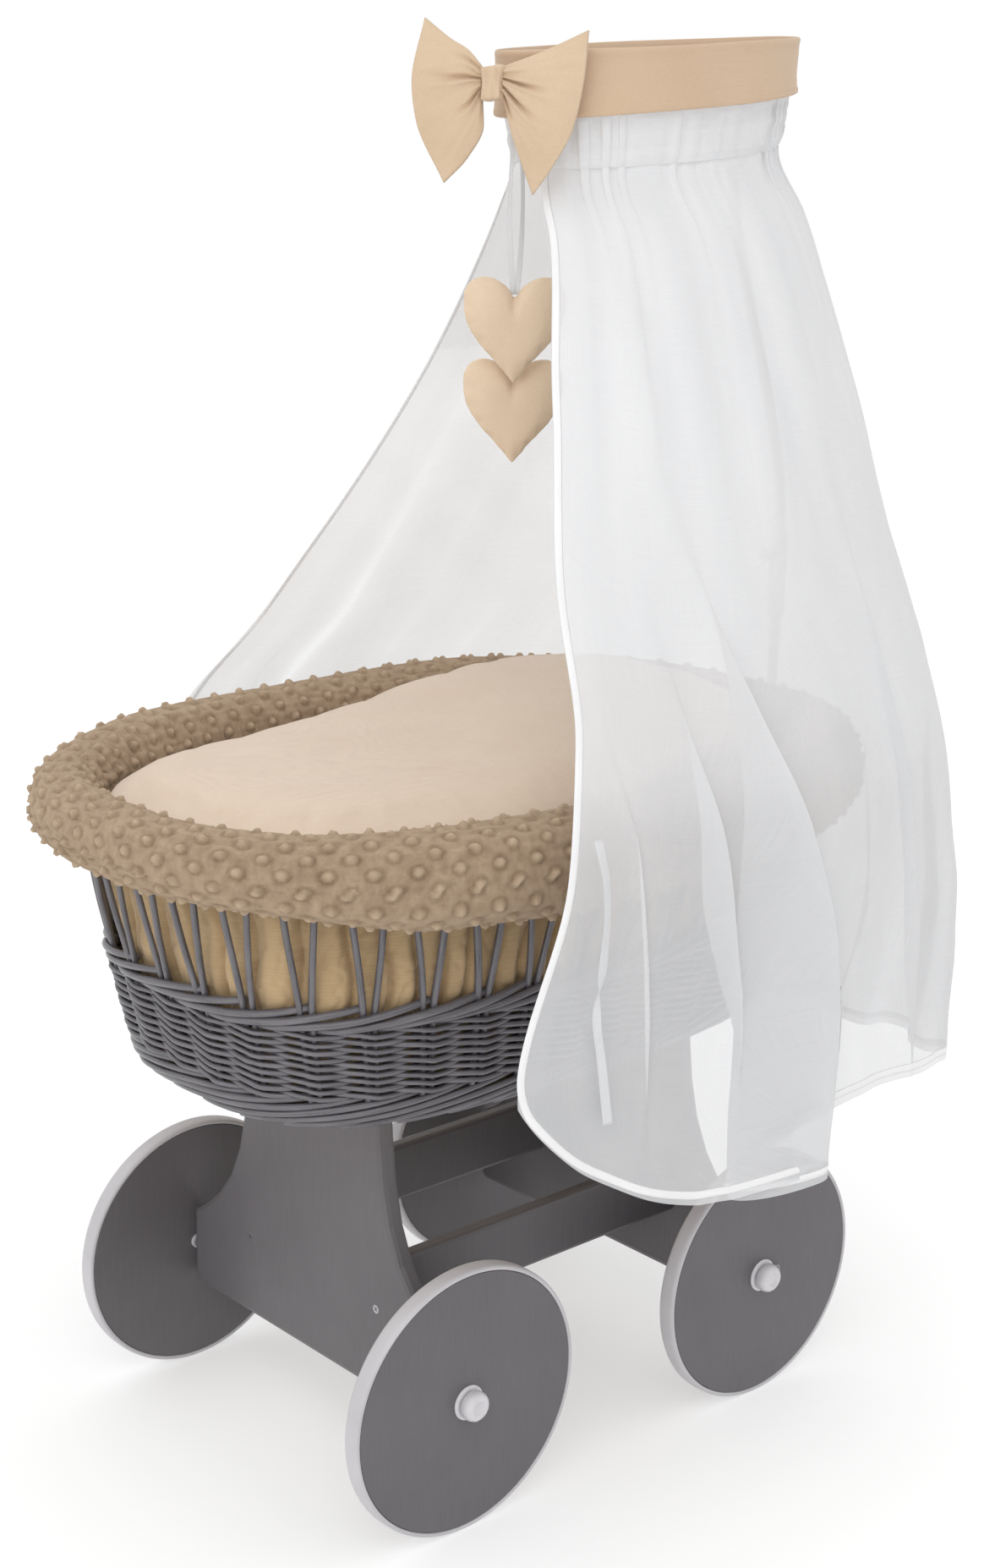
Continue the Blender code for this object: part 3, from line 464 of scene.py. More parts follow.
PAINT = paint_finish()
RUBBER = rubber_finish()
PLASTIC = plastic_finish()
STEEL = metal_finish("steel", linear(150, 150, 152), linear(196, 196, 198), 0.34)
ENAMEL = metal_finish("white_enamel", linear(232, 232, 232), linear(244, 244, 243), 0.28, metallic=0.0)
WOOD = wood_finish()
WICKER = wicker_finish()
PLUSH = plush_finish()
BEDDING = cotton("bedding_cotton", (208, 188, 168), (219, 201, 182), 0.0011)
LINER = cotton("liner_cotton", (172, 145, 108), (203, 176, 138), 0.0012, "uv", 0.0003)
BOW = cotton("bow_cotton", (203, 178, 149), (219, 196, 169), 0.0010)
BAND = cotton("band_cotton", (199, 172, 145), (212, 186, 159), 0.0011)
HEART = cotton("heart_cotton", (216, 193, 166), (231, 210, 184), 0.0010)
COTTON = cotton("white_cotton", (232, 230, 226), (246, 245, 242), 0.0013)
BINDING = cotton("binding_cotton", (232, 232, 233), (244, 244, 244), 0.0012, "uv")
VOILE = voile_finish("white_voile")
HEADING = voile_finish("voile_heading", 0.78)
RIBBON = voile_finish("voile_ribbon", 0.64, 0.0007)
EDGING = voile_finish("voile_edging", 0.34)


# Basket


def basket_table():
    """The basket's side as a table of heights and shares of the way round."""
    heights = np.linspace(0.40, 0.72, 33)
    shares = np.linspace(0, 1, 1441)
    rows = []
    for z in heights:
        share = (z - BASE_Z) / (RIM_Z - BASE_Z)
        half_length = BASE_OVAL[0] + (RIM_OVAL[0] - BASE_OVAL[0]) * share
        half_width = BASE_OVAL[1] + (RIM_OVAL[1] - BASE_OVAL[1]) * share
        squareness = np.clip((z - WALL_TOP) / (RIM_Z - WALL_TOP), 0, 1)
        power = WALL_POWER + (RIM_POWER - WALL_POWER) * squareness
        x, y, nx, ny, _ = even_oval(half_length, half_width, power, shares)
        rows.append(np.stack([x + BASKET_X, y, nx, ny], -1))
    return heights, np.array(rows)


BASKET_HEIGHTS, BASKET_ROWS = basket_table()


def on_basket(share, z, out=0.0):
    """Points on the basket's side, and the level directions that face out of it there."""
    share, z, out = np.broadcast_arrays(np.asarray(share, float), z, out)
    column = np.mod(share, 1.0) * (BASKET_ROWS.shape[1] - 1)
    row = (z - BASKET_HEIGHTS[0]) / (BASKET_HEIGHTS[1] - BASKET_HEIGHTS[0])
    row = np.clip(row, 0, len(BASKET_HEIGHTS) - 1.001)
    i, j = row.astype(int), np.minimum(column.astype(int), BASKET_ROWS.shape[1] - 2)
    a, b = (row - i)[..., None], (column - j)[..., None]
    low = BASKET_ROWS[i, j] * (1 - b) + BASKET_ROWS[i, j + 1] * b
    high = BASKET_ROWS[i + 1, j] * (1 - b) + BASKET_ROWS[i + 1, j + 1] * b
    value = low * (1 - a) + high * a
    normal = np.stack([value[..., 2], value[..., 3], 0 * z], -1)
    normal /= np.linalg.norm(normal, axis=-1)[..., None]
    point = np.stack([value[..., 0], value[..., 1], z], -1) + normal * out[..., None]
    return point, normal


def woven_wall():
    """Rows of two strands: one passes outside each stake pair while the other passes inside."""
    draw = random(11)
    paths, outward, radii = [], [], []
    lowest_row, row_gap, strand_radius = 0.4645, 0.00855, 0.00256
    t = np.arange(0, STAKE_PAIRS, 1 / 12)
    for row in range(9):
        height = lowest_row + row * row_gap
        for strand in range(2):
            beat = np.mod(t + strand + 1.0, 2.0) - 1.0
            kink = np.interp(
                beat, [-1, -0.5, -0.14, 0.06, 0.5, 1], [0.0, 1.0, 0.35, -0.85, -1.0, 0.0]
            )
            wander = ripple(t / STAKE_PAIRS, row * 0.21 + strand, 20 + row, waves=12)
            lift = 0.0021 * kink + 0.0006 * wander
            bulge = 0.0056 * np.cos(math.pi * beat) + 0.0005 * np.roll(wander, 7)
            bulge += 0.0006 * draw.normal(size=STAKE_PAIRS).repeat(12) * np.cos(math.pi * beat) ** 2
            points, normals = on_basket(t / STAKE_PAIRS, height + lift, bulge - 0.0003)
            paths.append(points)
            outward.append(normals)
            radii.append(strand_radius * (1 + 0.06 * draw.normal()))
    return rods("woven_rods", paths, outward, radii, WICKER, sides=8, closed=True)


def slanting_rods(name, reach, low, high, radius, bulge, tuck, seed, steps=26, ease=0.0):
    """One rod for each stake pair, which rises along the basket for several pairs and is tucked in."""
    draw = random(seed)
    paths, outward, radii = [], [], []
    for pair in range(STAKE_PAIRS):
        size = radius * (1 + 0.05 * draw.normal())
        s = np.linspace(0, 1, steps)
        t = pair - reach * (1 - s) + 0.06 * draw.normal()
        z = low + (high - low) * (s + ease * np.sin(math.pi * s)) + 0.0006 * draw.normal()
        z += 0.0005 * np.sin(TURN * (s * 1.3 + draw.uniform()))
        out = bulge * np.sin(math.pi * np.clip(s * 1.02, 0, 1)) ** 0.8 - tuck * (2 * s - 1) ** 4
        points, normals = on_basket(t / STAKE_PAIRS, z, out)
        paths.append(points)
        outward.append(normals)
        radii.append(size)
    return rods(name, paths, outward, radii, WICKER, sides=10)


def stakes():
    """Pairs of upright rods that spread into a V under the rim."""
    draw = random(5)
    paths, outward, radii = [], [], []
    foot, head, radius = 0.446, 0.694, 0.0034
    z = foot + (head - foot) * np.linspace(0, 1, 30)
    for pair in range(STAKE_PAIRS):
        for side in (-1, 1):
            spread = 0.085 + 0.175 * smooth_step(z, 0.535, 0.70) ** 0.9
            sway = 0.022 * draw.normal() * np.sin(math.pi * np.clip((z - 0.55) / 0.15, 0, 1))
            lean = 0.02 * draw.normal() * smooth_step(z, 0.55, 0.69)
            t = pair + side * spread + sway + lean
            bow = 0.0025 * np.sin(math.pi * np.clip((z - 0.55) / 0.14, 0, 1))
            points, normals = on_basket(t / STAKE_PAIRS, z, bow - 0.0005)
            paths.append(points)
            outward.append(normals)
            radii.append(radius * (1 + 0.05 * draw.normal()))
    return rods("stakes", paths, outward, radii, WICKER, sides=10)


def base_weave():
    """The flat underside: rods woven in shrinking ovals under the board's edge."""
    paths, outward = [], []
    t = np.arange(0, 1, 1 / 216)
    for ring in range(3):
        wave = np.cos(math.pi * (t * STAKE_PAIRS + ring))
        points, normals = on_basket(t, 0.4335, -0.002 - 0.006 * ring)
        points[:, 2] += 0.0015 * wave - 0.0005
        paths.append(points)
        outward.append(normals)
    return rods("base_rods", paths, outward, 0.0026, WICKER, sides=8, closed=True)


def liner():
    """Cotton gathered inside the stakes: upright tucks that lean, and a puffed lower edge."""
    columns, rows = 1200, 72
    lower, upper = 0.4605, 0.672
    share = np.arange(columns) / columns
    v = np.linspace(0, 1, rows)[:, None]
    z = lower + (upper - lower) * v + 0 * share
    lean_over = 0.012 * (v - 0.35) * ripple(share, 0.3, 71, waves=12)
    where = share + lean_over
    warp = 0.50 * ripple(where, v * 0.14, 34, waves=14)
    tuck = np.abs(np.sin(TURN * (where * 29 + warp)))
    second = np.abs(np.sin(TURN * (where * 47 + 0.5 * ripple(where, v * 0.5, 37, waves=20))))
    folds = ripple(where, v * 0.22, 33, waves=34)
    fine = ripple(where, v * 1.6, 35, waves=40)
    puff = np.exp(-(((v - 0.50) / 0.13) ** 2)) * (0.5 + 0.5 * ripple(share, 0.0, 36, waves=26))
    free = smooth_step(v, 0.30, 0.46)
    depth = 0.0034 * folds - 0.0110 * (1 - tuck) ** 2.2 - 0.0022 * (1 - second) ** 2.5
    depth = -0.0092 + free * (depth + 0.0004 * fine + 0.0040 * puff)
    depth = np.clip(depth, -0.028, -0.0044)
    points, _ = on_basket(share + 0 * v, z, depth)
    uv = np.stack([share * 2.15 + 0 * v, z + 0 * share], -1)
    made = grid_object("liner_cloth", points, LINER, uv, columns_close=True)
    modifier(made, "SOLIDIFY", thickness=0.0012, offset=-1)
    return applied(made)


def rim_roll():
    """The stuffed plush tube round the rim, with raised dots in staggered rows."""
    columns, rows = 1188, 124
    share = np.arange(columns) / columns
    angle = np.arange(rows)[:, None] / rows * TURN
    x, y, nx, ny, around = even_oval(*ROLL_OVAL, 2.5, share)
    foot = smooth_step(-x, 0.24, 0.40)
    half_out = 0.0450 - 0.0105 * foot - 0.002 * ripple(share, 0.1, 3, waves=6)
    half_up = 0.0430 - 0.0035 * foot + 0.0015 * ripple(share, 0.7, 4, waves=6)
    lump = 0.0030 * ripple(share + 0 * angle, angle / TURN * 1.2, 8, waves=18, stretch=0.8)
    lump = lump + 0.0010 * ripple(share + 0 * angle, angle / TURN * 3.0, 9, waves=40)
    # Creases run round the section where the tube bends, mostly inside the curve
    tuck = np.abs(np.sin(TURN * (share * 46 + 0.12 * np.sin(2 * angle) + 0.4 * ripple(share, 0.2, 12))))
    inside = smooth_step(-np.cos(angle), 0.1, 0.9) * (0.35 + 0.65 * smooth_step(np.abs(x), 0.2, 0.36))
    lump = lump - 0.0060 * (1 - tuck) ** 4 * inside
    # Raised dots in staggered rows round the section
    dot_rows, dot_columns, dot_reach, section_radius = 16, 66, 0.0058, 0.044
    drift = 0.16 * ripple(share + 0 * angle, 0.3, 14, waves=8)
    grid_row = angle / TURN * dot_rows + drift
    nearest = np.round(grid_row)
    grid_column = share * dot_columns + 0.5 * np.mod(nearest, 2) + 0.10 * ripple(share, nearest * 0.37, 15)
    across = (grid_row - nearest) * (TURN * section_radius / dot_rows)
    along = (grid_column - np.round(grid_column)) * (around / dot_columns)
    reach = np.hypot(across, along) / dot_reach
    dot = 1 - smooth_step(reach, 0.30, 1.0)
    dimple = np.exp(-((reach - 1.15) ** 2) / 0.10)
    c, s = np.cos(angle), np.sin(angle)
    rise = 0.0042 * dot - 0.0007 * dimple + lump
    c, s = np.sign(c) * np.abs(c) ** 0.93, np.sign(s) * np.abs(s) ** 0.93
    out = (half_out + rise) * c + 0.0105 * foot
    up = (half_up + rise) * s
    near = smooth_step(-y, 0.05, 0.25)
    up = up + np.where(s < 0, 1, 0) * (0.010 * foot - 0.012 * near * (1 - foot)) * -s
    points = np.zeros((rows, columns, 3))
    points[..., 0] = BASKET_X + x + nx * out
    points[..., 1] = y + ny * out
    points[..., 2] = ROLL_Z + up
    made = grid_object("rim_roll", points, PLUSH, rows_close=True, columns_close=True)
    # Dot height less the ring round it, which the plush colour uses for a painted highlight on each dot and
    # painted shade round it
    height = made.data.attributes.new("dot_highlight_and_shade", "FLOAT", "POINT")
    height.data.foreach_set("value", np.asarray(dot - 0.9 * dimple, np.float32).ravel())
    return made


def crowned(name, rings, around, edge, profile, material, z_at, centre):
    """A closed soft form: edge(angle) gives its outline, and profile the share out and up of each ring."""
    angle = np.arange(around) / around * TURN
    ex, ey = edge(angle)
    points = np.zeros((rings, around, 3))
    for i in range(rings):
        out, up = profile(i / (rings - 1))
        x, y = centre[0] + ex * out, centre[1] + ey * out
        points[i, :, 0], points[i, :, 1] = x, y
        points[i, :, 2] = z_at(x, y, up)
    return facing_out(mesh_object(name, points, tube_faces(rings, around), material))


def facing_out(obj):
    bm = bmesh.new()
    bm.from_mesh(obj.data)
    bmesh.ops.recalc_face_normals(bm, faces=bm.faces)
    bm.to_mesh(obj.data)
    bm.free()
    return obj


def pillow_profile(power):
    """Rings from the middle of the underside, round the edge and to the middle of the top."""
    smallest = 0.02

    def profile(share):
        turn = math.pi * (share - 0.5)
        out = abs(math.cos(turn)) ** (2 / power)
        up = math.copysign(abs(math.sin(turn)) ** (2 / power), math.sin(turn))
        return max(out, smallest), up

    return profile


def puffed(obj, cap, voxel):
    """Blows the form up as cloth does, with no point moving further than the cap."""
    pressure, stiffness, frames = 4.0, 12.0, 20
    modifier(obj, "REMESH", mode="VOXEL", voxel_size=voxel)
    applied(obj)
    obj.data.shade_smooth()
    count = len(obj.data.vertices)
    before = np.zeros(count * 3)
    obj.data.vertices.foreach_get("co", before)
    cloth = obj.modifiers.new("cloth", "CLOTH")
    cloth.settings.use_pressure = True
    cloth.settings.uniform_pressure_force = pressure
    cloth.settings.tension_stiffness = stiffness
    cloth.settings.compression_stiffness = stiffness
    cloth.settings.quality = 4
    cloth.settings.effector_weights.gravity = 0
    cloth.collision_settings.use_collision = False
    cloth.point_cache.frame_end = frames
    scene = bpy.context.scene
    for number in range(1, frames + 1):
        scene.frame_set(number)
    moved = obj.evaluated_get(bpy.context.evaluated_depsgraph_get()).data
    after = np.zeros(count * 3)
    moved.vertices.foreach_get("co", after)
    step = (after - before).reshape(-1, 3)
    far = np.linalg.norm(step, axis=1)[:, None] + 1e-9
    step *= np.minimum(1, cap / far)
    obj.modifiers.clear()
    obj.data.vertices.foreach_set("co", (before + step.ravel()).astype(np.float32))
    obj.data.update()
    scene.frame_set(1)
    modifier(obj, "SUBSURF", levels=1, render_levels=1)
    applied(obj)
    obj.data.shade_smooth()
    return obj


def duvet():
    """A full, smooth quilt that meets the roll all round and climbs over the pillow."""

    def edge(angle):
        x, y = superellipse(angle, 0.364, 0.2305, 2.5)
        return x - 0.044 * smooth_step(-x, 0.18, 0.36), y

    def height(x, y, up):
        low = 0.550 + 0.035 * smooth_step(x, -0.03, 0.06)
        high = 0.7230 + 0.0495 * smooth_step(x, -0.22, 0.30) - 0.026 * smooth_step(x, 0.27, 0.36)
        high = high + 0.017 * smooth_step(-x, 0.02, 0.38)
        middle = (low + high) / 2
        fold = 0.0013 * ripple(x / 0.7, y * 2.4, 41, waves=9, stretch=0.8)
        crease = 0.0030 * np.exp(-(((x - 0.05 + 0.25 * y) / 0.030) ** 2)) * smooth_step(y, -0.05, 0.15)
        around = np.hypot((x - BASKET_X) / 0.366, y / 0.2325)
        top = middle + (high - middle) * up
        return top + (fold - crease - 0.004 * around**2) * max(up, 0)

    made = crowned(
        "duvet_cover", 96, 192, edge, pillow_profile(6.0), BEDDING, height, (BASKET_X, 0)
    )
    # It narrows downwards, as the basket does
    for vertex in made.data.vertices:
        x, y, z = vertex.co
        narrow = 1 - 0.15 * smooth_step(-z, -0.72, -0.62)
        vertex.co = BASKET_X + (x - BASKET_X) * narrow, y * narrow, z
    return puffed(made, 0.006, voxel=0.006)


def cushion(name, rings, around, oval, power, middle, half_height, x):
    """A plain cotton form with the same outline and height all over."""

    def edge(angle):
        return superellipse(angle, *oval)

    def height(x, y, up):
        return middle + half_height * up

    return crowned(name, rings, around, edge, pillow_profile(power), COTTON, height, (x, 0))


def mattress():
    return cushion("mattress_cover", 24, 96, (0.332, 0.195, 3.0), 7, 0.4935, 0.0505, BASKET_X)


def head_pillow():
    return cushion("pillow_cover", 20, 72, (0.113, 0.163, 3.5), 2.6, 0.5612, 0.0148, 0.185)


# Canopy

HEADING_TOP, VEIL_TOP, VEIL_LOW = 1.384, 1.315, 0.31

# The veil's mean ovals from the hoop down: height, middle along x, half length, half width,
# power, and how far it reaches round to its near and far edges, in radians from the head end
VEIL_ROWS = (
    (1.361, 0.220, 0.164, 0.106, 2.0, 3.02, 2.75),
    (1.315, 0.220, 0.157, 0.105, 2.0, 3.02, 2.60),
    (1.25, 0.215, 0.190, 0.142, 2.1, 2.76, 2.05),
    (1.10, 0.170, 0.278, 0.205, 2.4, 2.38, 1.75),
    (0.94, 0.100, 0.365, 0.272, 2.8, 2.09, 1.66),
    (0.81, 0.050, 0.435, 0.328, 3.1, 1.90, 1.65),
    (0.70, 0.014, 0.475, 0.366, 3.2, 1.86, 1.71),
    (0.52, 0.000, 0.490, 0.380, 3.4, 1.94, 1.68),
    (0.31, -0.001, 0.492, 0.385, 3.5, 1.75, 1.64),
)


def veil_table():
    """The veil's mean surface: its near edge at share 0, round the head end, to its far edge at 1."""
    rows = np.array(VEIL_ROWS)[::-1]
    heights = np.linspace(rows[0, 0], rows[-1, 0], 120)
    values = smooth_between(heights, rows[:, 0], rows[:, 1:])
    shares = np.linspace(0, 1, 801)
    table, lengths = [], []
    for x, half_length, half_width, power, right, left in values:
        px, py = superellipse(np.linspace(-right, left, 2401), half_length, half_width, power)
        step = np.hypot(np.diff(px), np.diff(py))
        walked = np.concatenate([[0], np.cumsum(step)])
        lengths.append(walked[-1])
        wanted = shares * walked[-1]
        table.append(np.stack([np.interp(wanted, walked, px) + x, np.interp(wanted, walked, py)], -1))
    return heights, np.array(table), np.array(lengths)


VEIL_HEIGHTS, VEIL_TABLE, VEIL_LENGTHS = veil_table()


def on_veil(share, z):
    """Points of the mean surface, level outward normals, level tangents and the way round in metres."""
    row = np.clip((z - VEIL_HEIGHTS[0]) / (VEIL_HEIGHTS[1] - VEIL_HEIGHTS[0]), 0, len(VEIL_HEIGHTS) - 1.001)
    last = VEIL_TABLE.shape[1] - 2
    column = np.clip(share, 0, 1) * (last + 1)
    i, j = row.astype(int), np.minimum(column.astype(int), last)
    a, b = (row - i)[..., None], (column - j)[..., None]

    def read(column_step):
        k = np.clip(j + column_step, 0, last)
        low = VEIL_TABLE[i, k] * (1 - b) + VEIL_TABLE[i, k + 1] * b
        high = VEIL_TABLE[i + 1, k] * (1 - b) + VEIL_TABLE[i + 1, k + 1] * b
        return low * (1 - a) + high * a

    point, along = read(0), read(6) - read(-6)
    along /= np.linalg.norm(along, axis=-1)[..., None]
    length = VEIL_LENGTHS[i] * (1 - a[..., 0]) + VEIL_LENGTHS[i + 1] * a[..., 0]
    return point, np.stack([along[..., 1], -along[..., 0]], -1), along, length


def lean(x, z):
    """How far the hoop's slope lifts the cloth that hangs from it."""
    return RING_SLOPE * (x - RING_X) * smooth_step(z, 1.15, 1.32)


def veil_hem(share):
    """The hem swings up to the near edge, and hangs higher behind the big fold."""
    away = share * 2.25
    hem = 0.302 + 0.135 * np.exp(-away / 0.09) + 0.068 * np.exp(-away / 0.32)
    hem = hem + 0.036 * smooth_step(away, 0.325, 0.46)
    behind = smooth_step(away, 0.40, 0.50)
    back = 0.404 - 0.066 * smooth_step(away, 0.50, 1.0) - 0.012 * smooth_step(away, 1.0, 1.6)
    return hem * (1 - behind) + behind * back


# Folded-over pleats on the near side. Their places along x and their half widths are given at
# heights 0.80 and 0.33; then come how far the cloth doubles back, how far it stands out, and the
# shares of the drop between which the pleat forms, and how far it has opened again at the hem.
PLEATS = (
    ((-0.128, 0.013), (-0.117, 0.016), 0.44, 0.0040, 0.46, 0.68, 1.0),
    ((-0.030, 0.040), (0.002, 0.056), 0.74, 0.0110, 0.34, 0.70, 0.5),
    ((0.052, 0.060), (0.080, 0.104), 1.15, 0.0190, 0.24, 0.74, 0.0),
    ((0.270, 0.040), (0.285, 0.050), 0.50, 0.0090, 0.20, 0.62, 0.6),
)


def gathers(share):
    """The phase and the depth of the small uneven pleats along the stitched line."""
    pleat = TURN * (27 * share + 1.9 * ripple(share, 0.1, 54, waves=20))
    return pleat, np.clip(0.60 + 1.0 * ripple(share, 0.4, 59, waves=22), 0.08, 1.9)


def veil_points(share, v):
    """The folded cloth: v is 0 at the gathering line and 1 at the hem."""
    z = VEIL_TOP + (veil_hem(share) - VEIL_TOP) * v
    mean, out, along, length = on_veil(share, z)
    away = share * length
    rest = (1 - share) * length
    drop = np.clip((VEIL_TOP - z) / (VEIL_TOP - VEIL_LOW), 0, 1)
    # Main folds stand closer together near the hoop, are deeper lower down, and are uneven
    count = 15
    wander = 0.65 * ripple(share, 0.12 * drop, 51, waves=9) + 0.25 * ripple(share, 0.3 * drop, 52, waves=12)
    turn = TURN * (count * share + 0.45 * wander) - 1.1
    uneven = np.clip(0.70 + 0.50 * ripple(share, 0.22 * drop, 53, waves=14), 0.12, 1.3)
    near = 1 - smooth_step(away, 0.55, 0.72) * (1 - smooth_step(share, 0.93, 0.99))
    calm = 1 - near * smooth_step(drop, 0.12, 0.40)
    far_side = 1 - 0.5 * smooth_step(share, 0.62, 0.75)
    deep = (0.0030 + 0.019 * smooth_step(drop, 0.0, 0.95)) * (0.14 + 0.86 * calm) * uneven * far_side
    deep = deep * smooth_step(drop, -0.02, 0.16)
    pitch = length / count
    over = pitch / (4 * math.pi) * (0.3 + 1.0 * smooth_step(drop, 0.05, 0.8)) * uneven
    over = over * (0.08 + 0.92 * calm) * far_side
    # Gathers fan out below the stitched line
    pleat, gather = gathers(share)
    fine = (0.0032 * np.exp(-drop / 0.06) + 0.0007 * np.exp(-drop / 0.30)) * gather
    small = ripple(share, 0.5 * drop, 55, waves=36) * (0.0004 + 0.0007 * drop)
    ends = smooth_step(away, 0.0, 0.06) * smooth_step(rest, 0.0, 0.06)
    normal_move = (deep * np.cos(turn) + fine * np.cos(pleat) + small) * (0.15 + 0.85 * ends)
    side_move = (over * np.sin(2 * turn) + fine * 0.7 * np.sin(2 * pleat)) * ends
    edge_x = on_veil(np.zeros_like(z), z)[0][..., 0]
    for high, low, back, stand, first, last, opened in PLEATS:
        lower = np.clip((0.80 - z) / 0.47, -0.6, 1)
        place = high[0] + (low[0] - high[0]) * lower + 0.004 * np.sin(9 * z + 40 * high[0])
        half = np.maximum(high[1] + (low[1] - high[1]) * lower, 0.008)
        x = np.clip((away - (place - edge_x)) / half, -1, 1)
        grown = smooth_step(drop, first, last) * (1 - opened * smooth_step(drop, 0.74, 0.93))
        side_move = side_move - back * half * np.sin(math.pi * x) * grown
        normal_move = normal_move - stand * np.sin(math.pi * x) * grown * (0.7 + 0.3 * np.cos(math.pi * x))
    point = mean + out * normal_move[..., None] + along * side_move[..., None]
    z = z + lean(point[..., 0], z)
    return np.concatenate([point, z[..., None]], -1)


def gathered_opacity(share, z):
    """Gathering packs the threads: the cloth is thinnest where it hangs single near its lower edge
    and on the far side, where it is drawn out."""
    height = z + 0.03 * ripple(share, z * 1.5, 63, waves=14)
    near = 0.70 + 0.12 * smooth_step(height, 0.66, 0.80) + 0.04 * smooth_step(height, 0.9, 1.3)
    far = 0.42 + 0.12 * smooth_step(height, 1.0, 1.3) + 0.05 * ripple(share, z * 0.6, 64, waves=20)
    drawn = smooth_step(share, 0.50, 0.62)
    return near * (1 - drawn) + far * drawn


def cloth_normals(points):
    across = np.gradient(points, axis=1)
    down = np.gradient(points, axis=0)
    normal = np.cross(across, down)
    return normal / (np.linalg.norm(normal, axis=-1)[..., None] + 1e-12)


def veil():
    """The hanging cloth, the white binding of its near edge and hem, and its far edge."""
    columns, rows = 900, 170
    share = np.linspace(0, 1, columns)
    v = np.linspace(0, 1, rows)[:, None] ** 1.05
    share = np.broadcast_to(share, (rows, columns))
    points = veil_points(share, v + 0 * share)
    uv = np.stack([share * 2.6, 1.05 * (1 - v) + 0 * share], -1)
    cloth = grid_object("veil_cloth", points, VOILE, uv)
    opacity = cloth.data.attributes.new("opacity", "FLOAT", "POINT")
    opacity.data.foreach_set("value", gathered_opacity(share, points[..., 2]).astype(np.float32).ravel())

    # The binding runs down the near edge and along the hem, and the edging goes on up the far edge
    normals = cloth_normals(points)
    down = np.concatenate([points[:-4, 1], points[-3, 3:-3], points[:-4, -2][::-1]])
    face = np.concatenate([normals[:-4, 1], normals[-3, 3:-3], normals[:-4, -2][::-1]])
    kept = np.concatenate([[True], np.linalg.norm(np.diff(down, axis=0), axis=1) > 0.0008])
    down, face = down[kept], face[kept]
    for _ in range(40):
        face[1:-1] = (face[:-2] + 2 * face[1:-1] + face[2:]) / 4
    face /= np.linalg.norm(face, axis=1)[:, None]
    far = len(down) - (rows - 5)
    for count, first in ((4, 0), (40, far + 6)):
        for _ in range(count):
            down[first + 1 : -1] = (down[first:-2] + 2 * down[first + 1 : -1] + down[first + 2 :]) / 4
    binding = rods("veil_binding", [down[: far + 8]], [face[: far + 8]], 0.0041, BINDING, flat=0.2)
    edging = rods("veil_far_edge", [down[far + 6 :]], [face[far + 6 :]], 0.0032, EDGING, flat=0.2)
    return cloth, binding, edging


def veil_header():
    """The gathered heading between the band and the stitched line, two layers of cloth."""
    columns, rows = 1000, 32
    share = np.linspace(0, 1, columns)
    v = np.linspace(0, 1, rows)[:, None]
    z = HEADING_TOP + (VEIL_TOP - 0.001 - HEADING_TOP) * v
    share2 = np.broadcast_to(share, (rows, columns))
    mean, out, along, _ = on_veil(share2, z + 0 * share2)
    pleat, gather = gathers(share2)
    # Its top is sewn inside the band, which stands a little further out
    sewn = 1 - smooth_step(v, 0.12, 0.42)
    loose = np.sin(math.pi * np.clip((v - 0.15) / 0.85, 0, 1)) ** 0.7
    depth = gather * (0.0016 + 0.0026 * loose * (0.8 + 0.4 * ripple(share2, v * 0.6, 57, waves=18)))
    frill = ripple(share2, v * 1.4, 58, waves=40) * 0.0008
    puff = 0.0040 * loose
    move = (depth * np.cos(pleat + 0.6 * v) + frill) * (1 - 0.8 * sewn) + puff + 0.001 + 0.0075 * sewn
    side = 0.6 * depth * np.sin(2 * pleat)
    point = mean + out * move[..., None] + along * side[..., None]
    z = z + lean(point[..., 0], 1.32)
    points = np.concatenate([point, z[..., None]], -1)
    uv = np.stack([share2 * 2.6, v * 0.07 + 0 * share2], -1)
    return grid_object("veil_heading", points, HEADING, uv)


def ring_point(angle, out, z):
    """Points round the hoop's oval, moved outwards."""
    half_length, half_width = RING_OVAL
    x, y = half_length * np.cos(angle), half_width * np.sin(angle)
    nx, ny = half_width * np.cos(angle), half_length * np.sin(angle)
    size = np.hypot(nx, ny)
    x = x + nx / size * out
    return np.stack([RING_X + x, y + ny / size * out, z + RING_SLOPE * x], -1)


def band():
    """The cotton band folded over the hoop, with hemmed edges and slight slack."""
    steps = 300
    angle = np.arange(steps) / steps * TURN
    slack = ripple(angle / TURN, 0.2, 61, waves=9)
    profile = [
        (0.0064, -0.990), (0.0070, -1.000), (0.0080, -0.970), (0.0082, -0.830), (0.0074, -0.800),
        (0.0070, -0.760), (0.0068, -0.350), (0.0072, 0.050), (0.0068, 0.450), (0.0070, 0.770),
        (0.0075, 0.810), (0.0079, 0.920), (0.0070, 0.990), (0.0058, 1.000), (0.0044, 0.980),
        (0.0040, 0.820), (0.0041, 0.050), (0.0040, -0.800), (0.0043, -0.960), (0.0054, -0.995),
    ]
    half = 0.0302 - 0.0150 * RING_OVAL[0] * np.cos(angle)
    points = np.zeros((len(profile), steps, 3))
    for i, (out, up) in enumerate(profile):
        wave = 0.0007 * ripple(angle / TURN, up * 0.5, 62, waves=14)
        points[i] = ring_point(angle, out + wave, RING_Z + 0.0015 + up * half + 0.0010 * slack * up)
    made = grid_object("band_cloth", points, BAND, rows_close=True, columns_close=True)
    return facing_out(made)


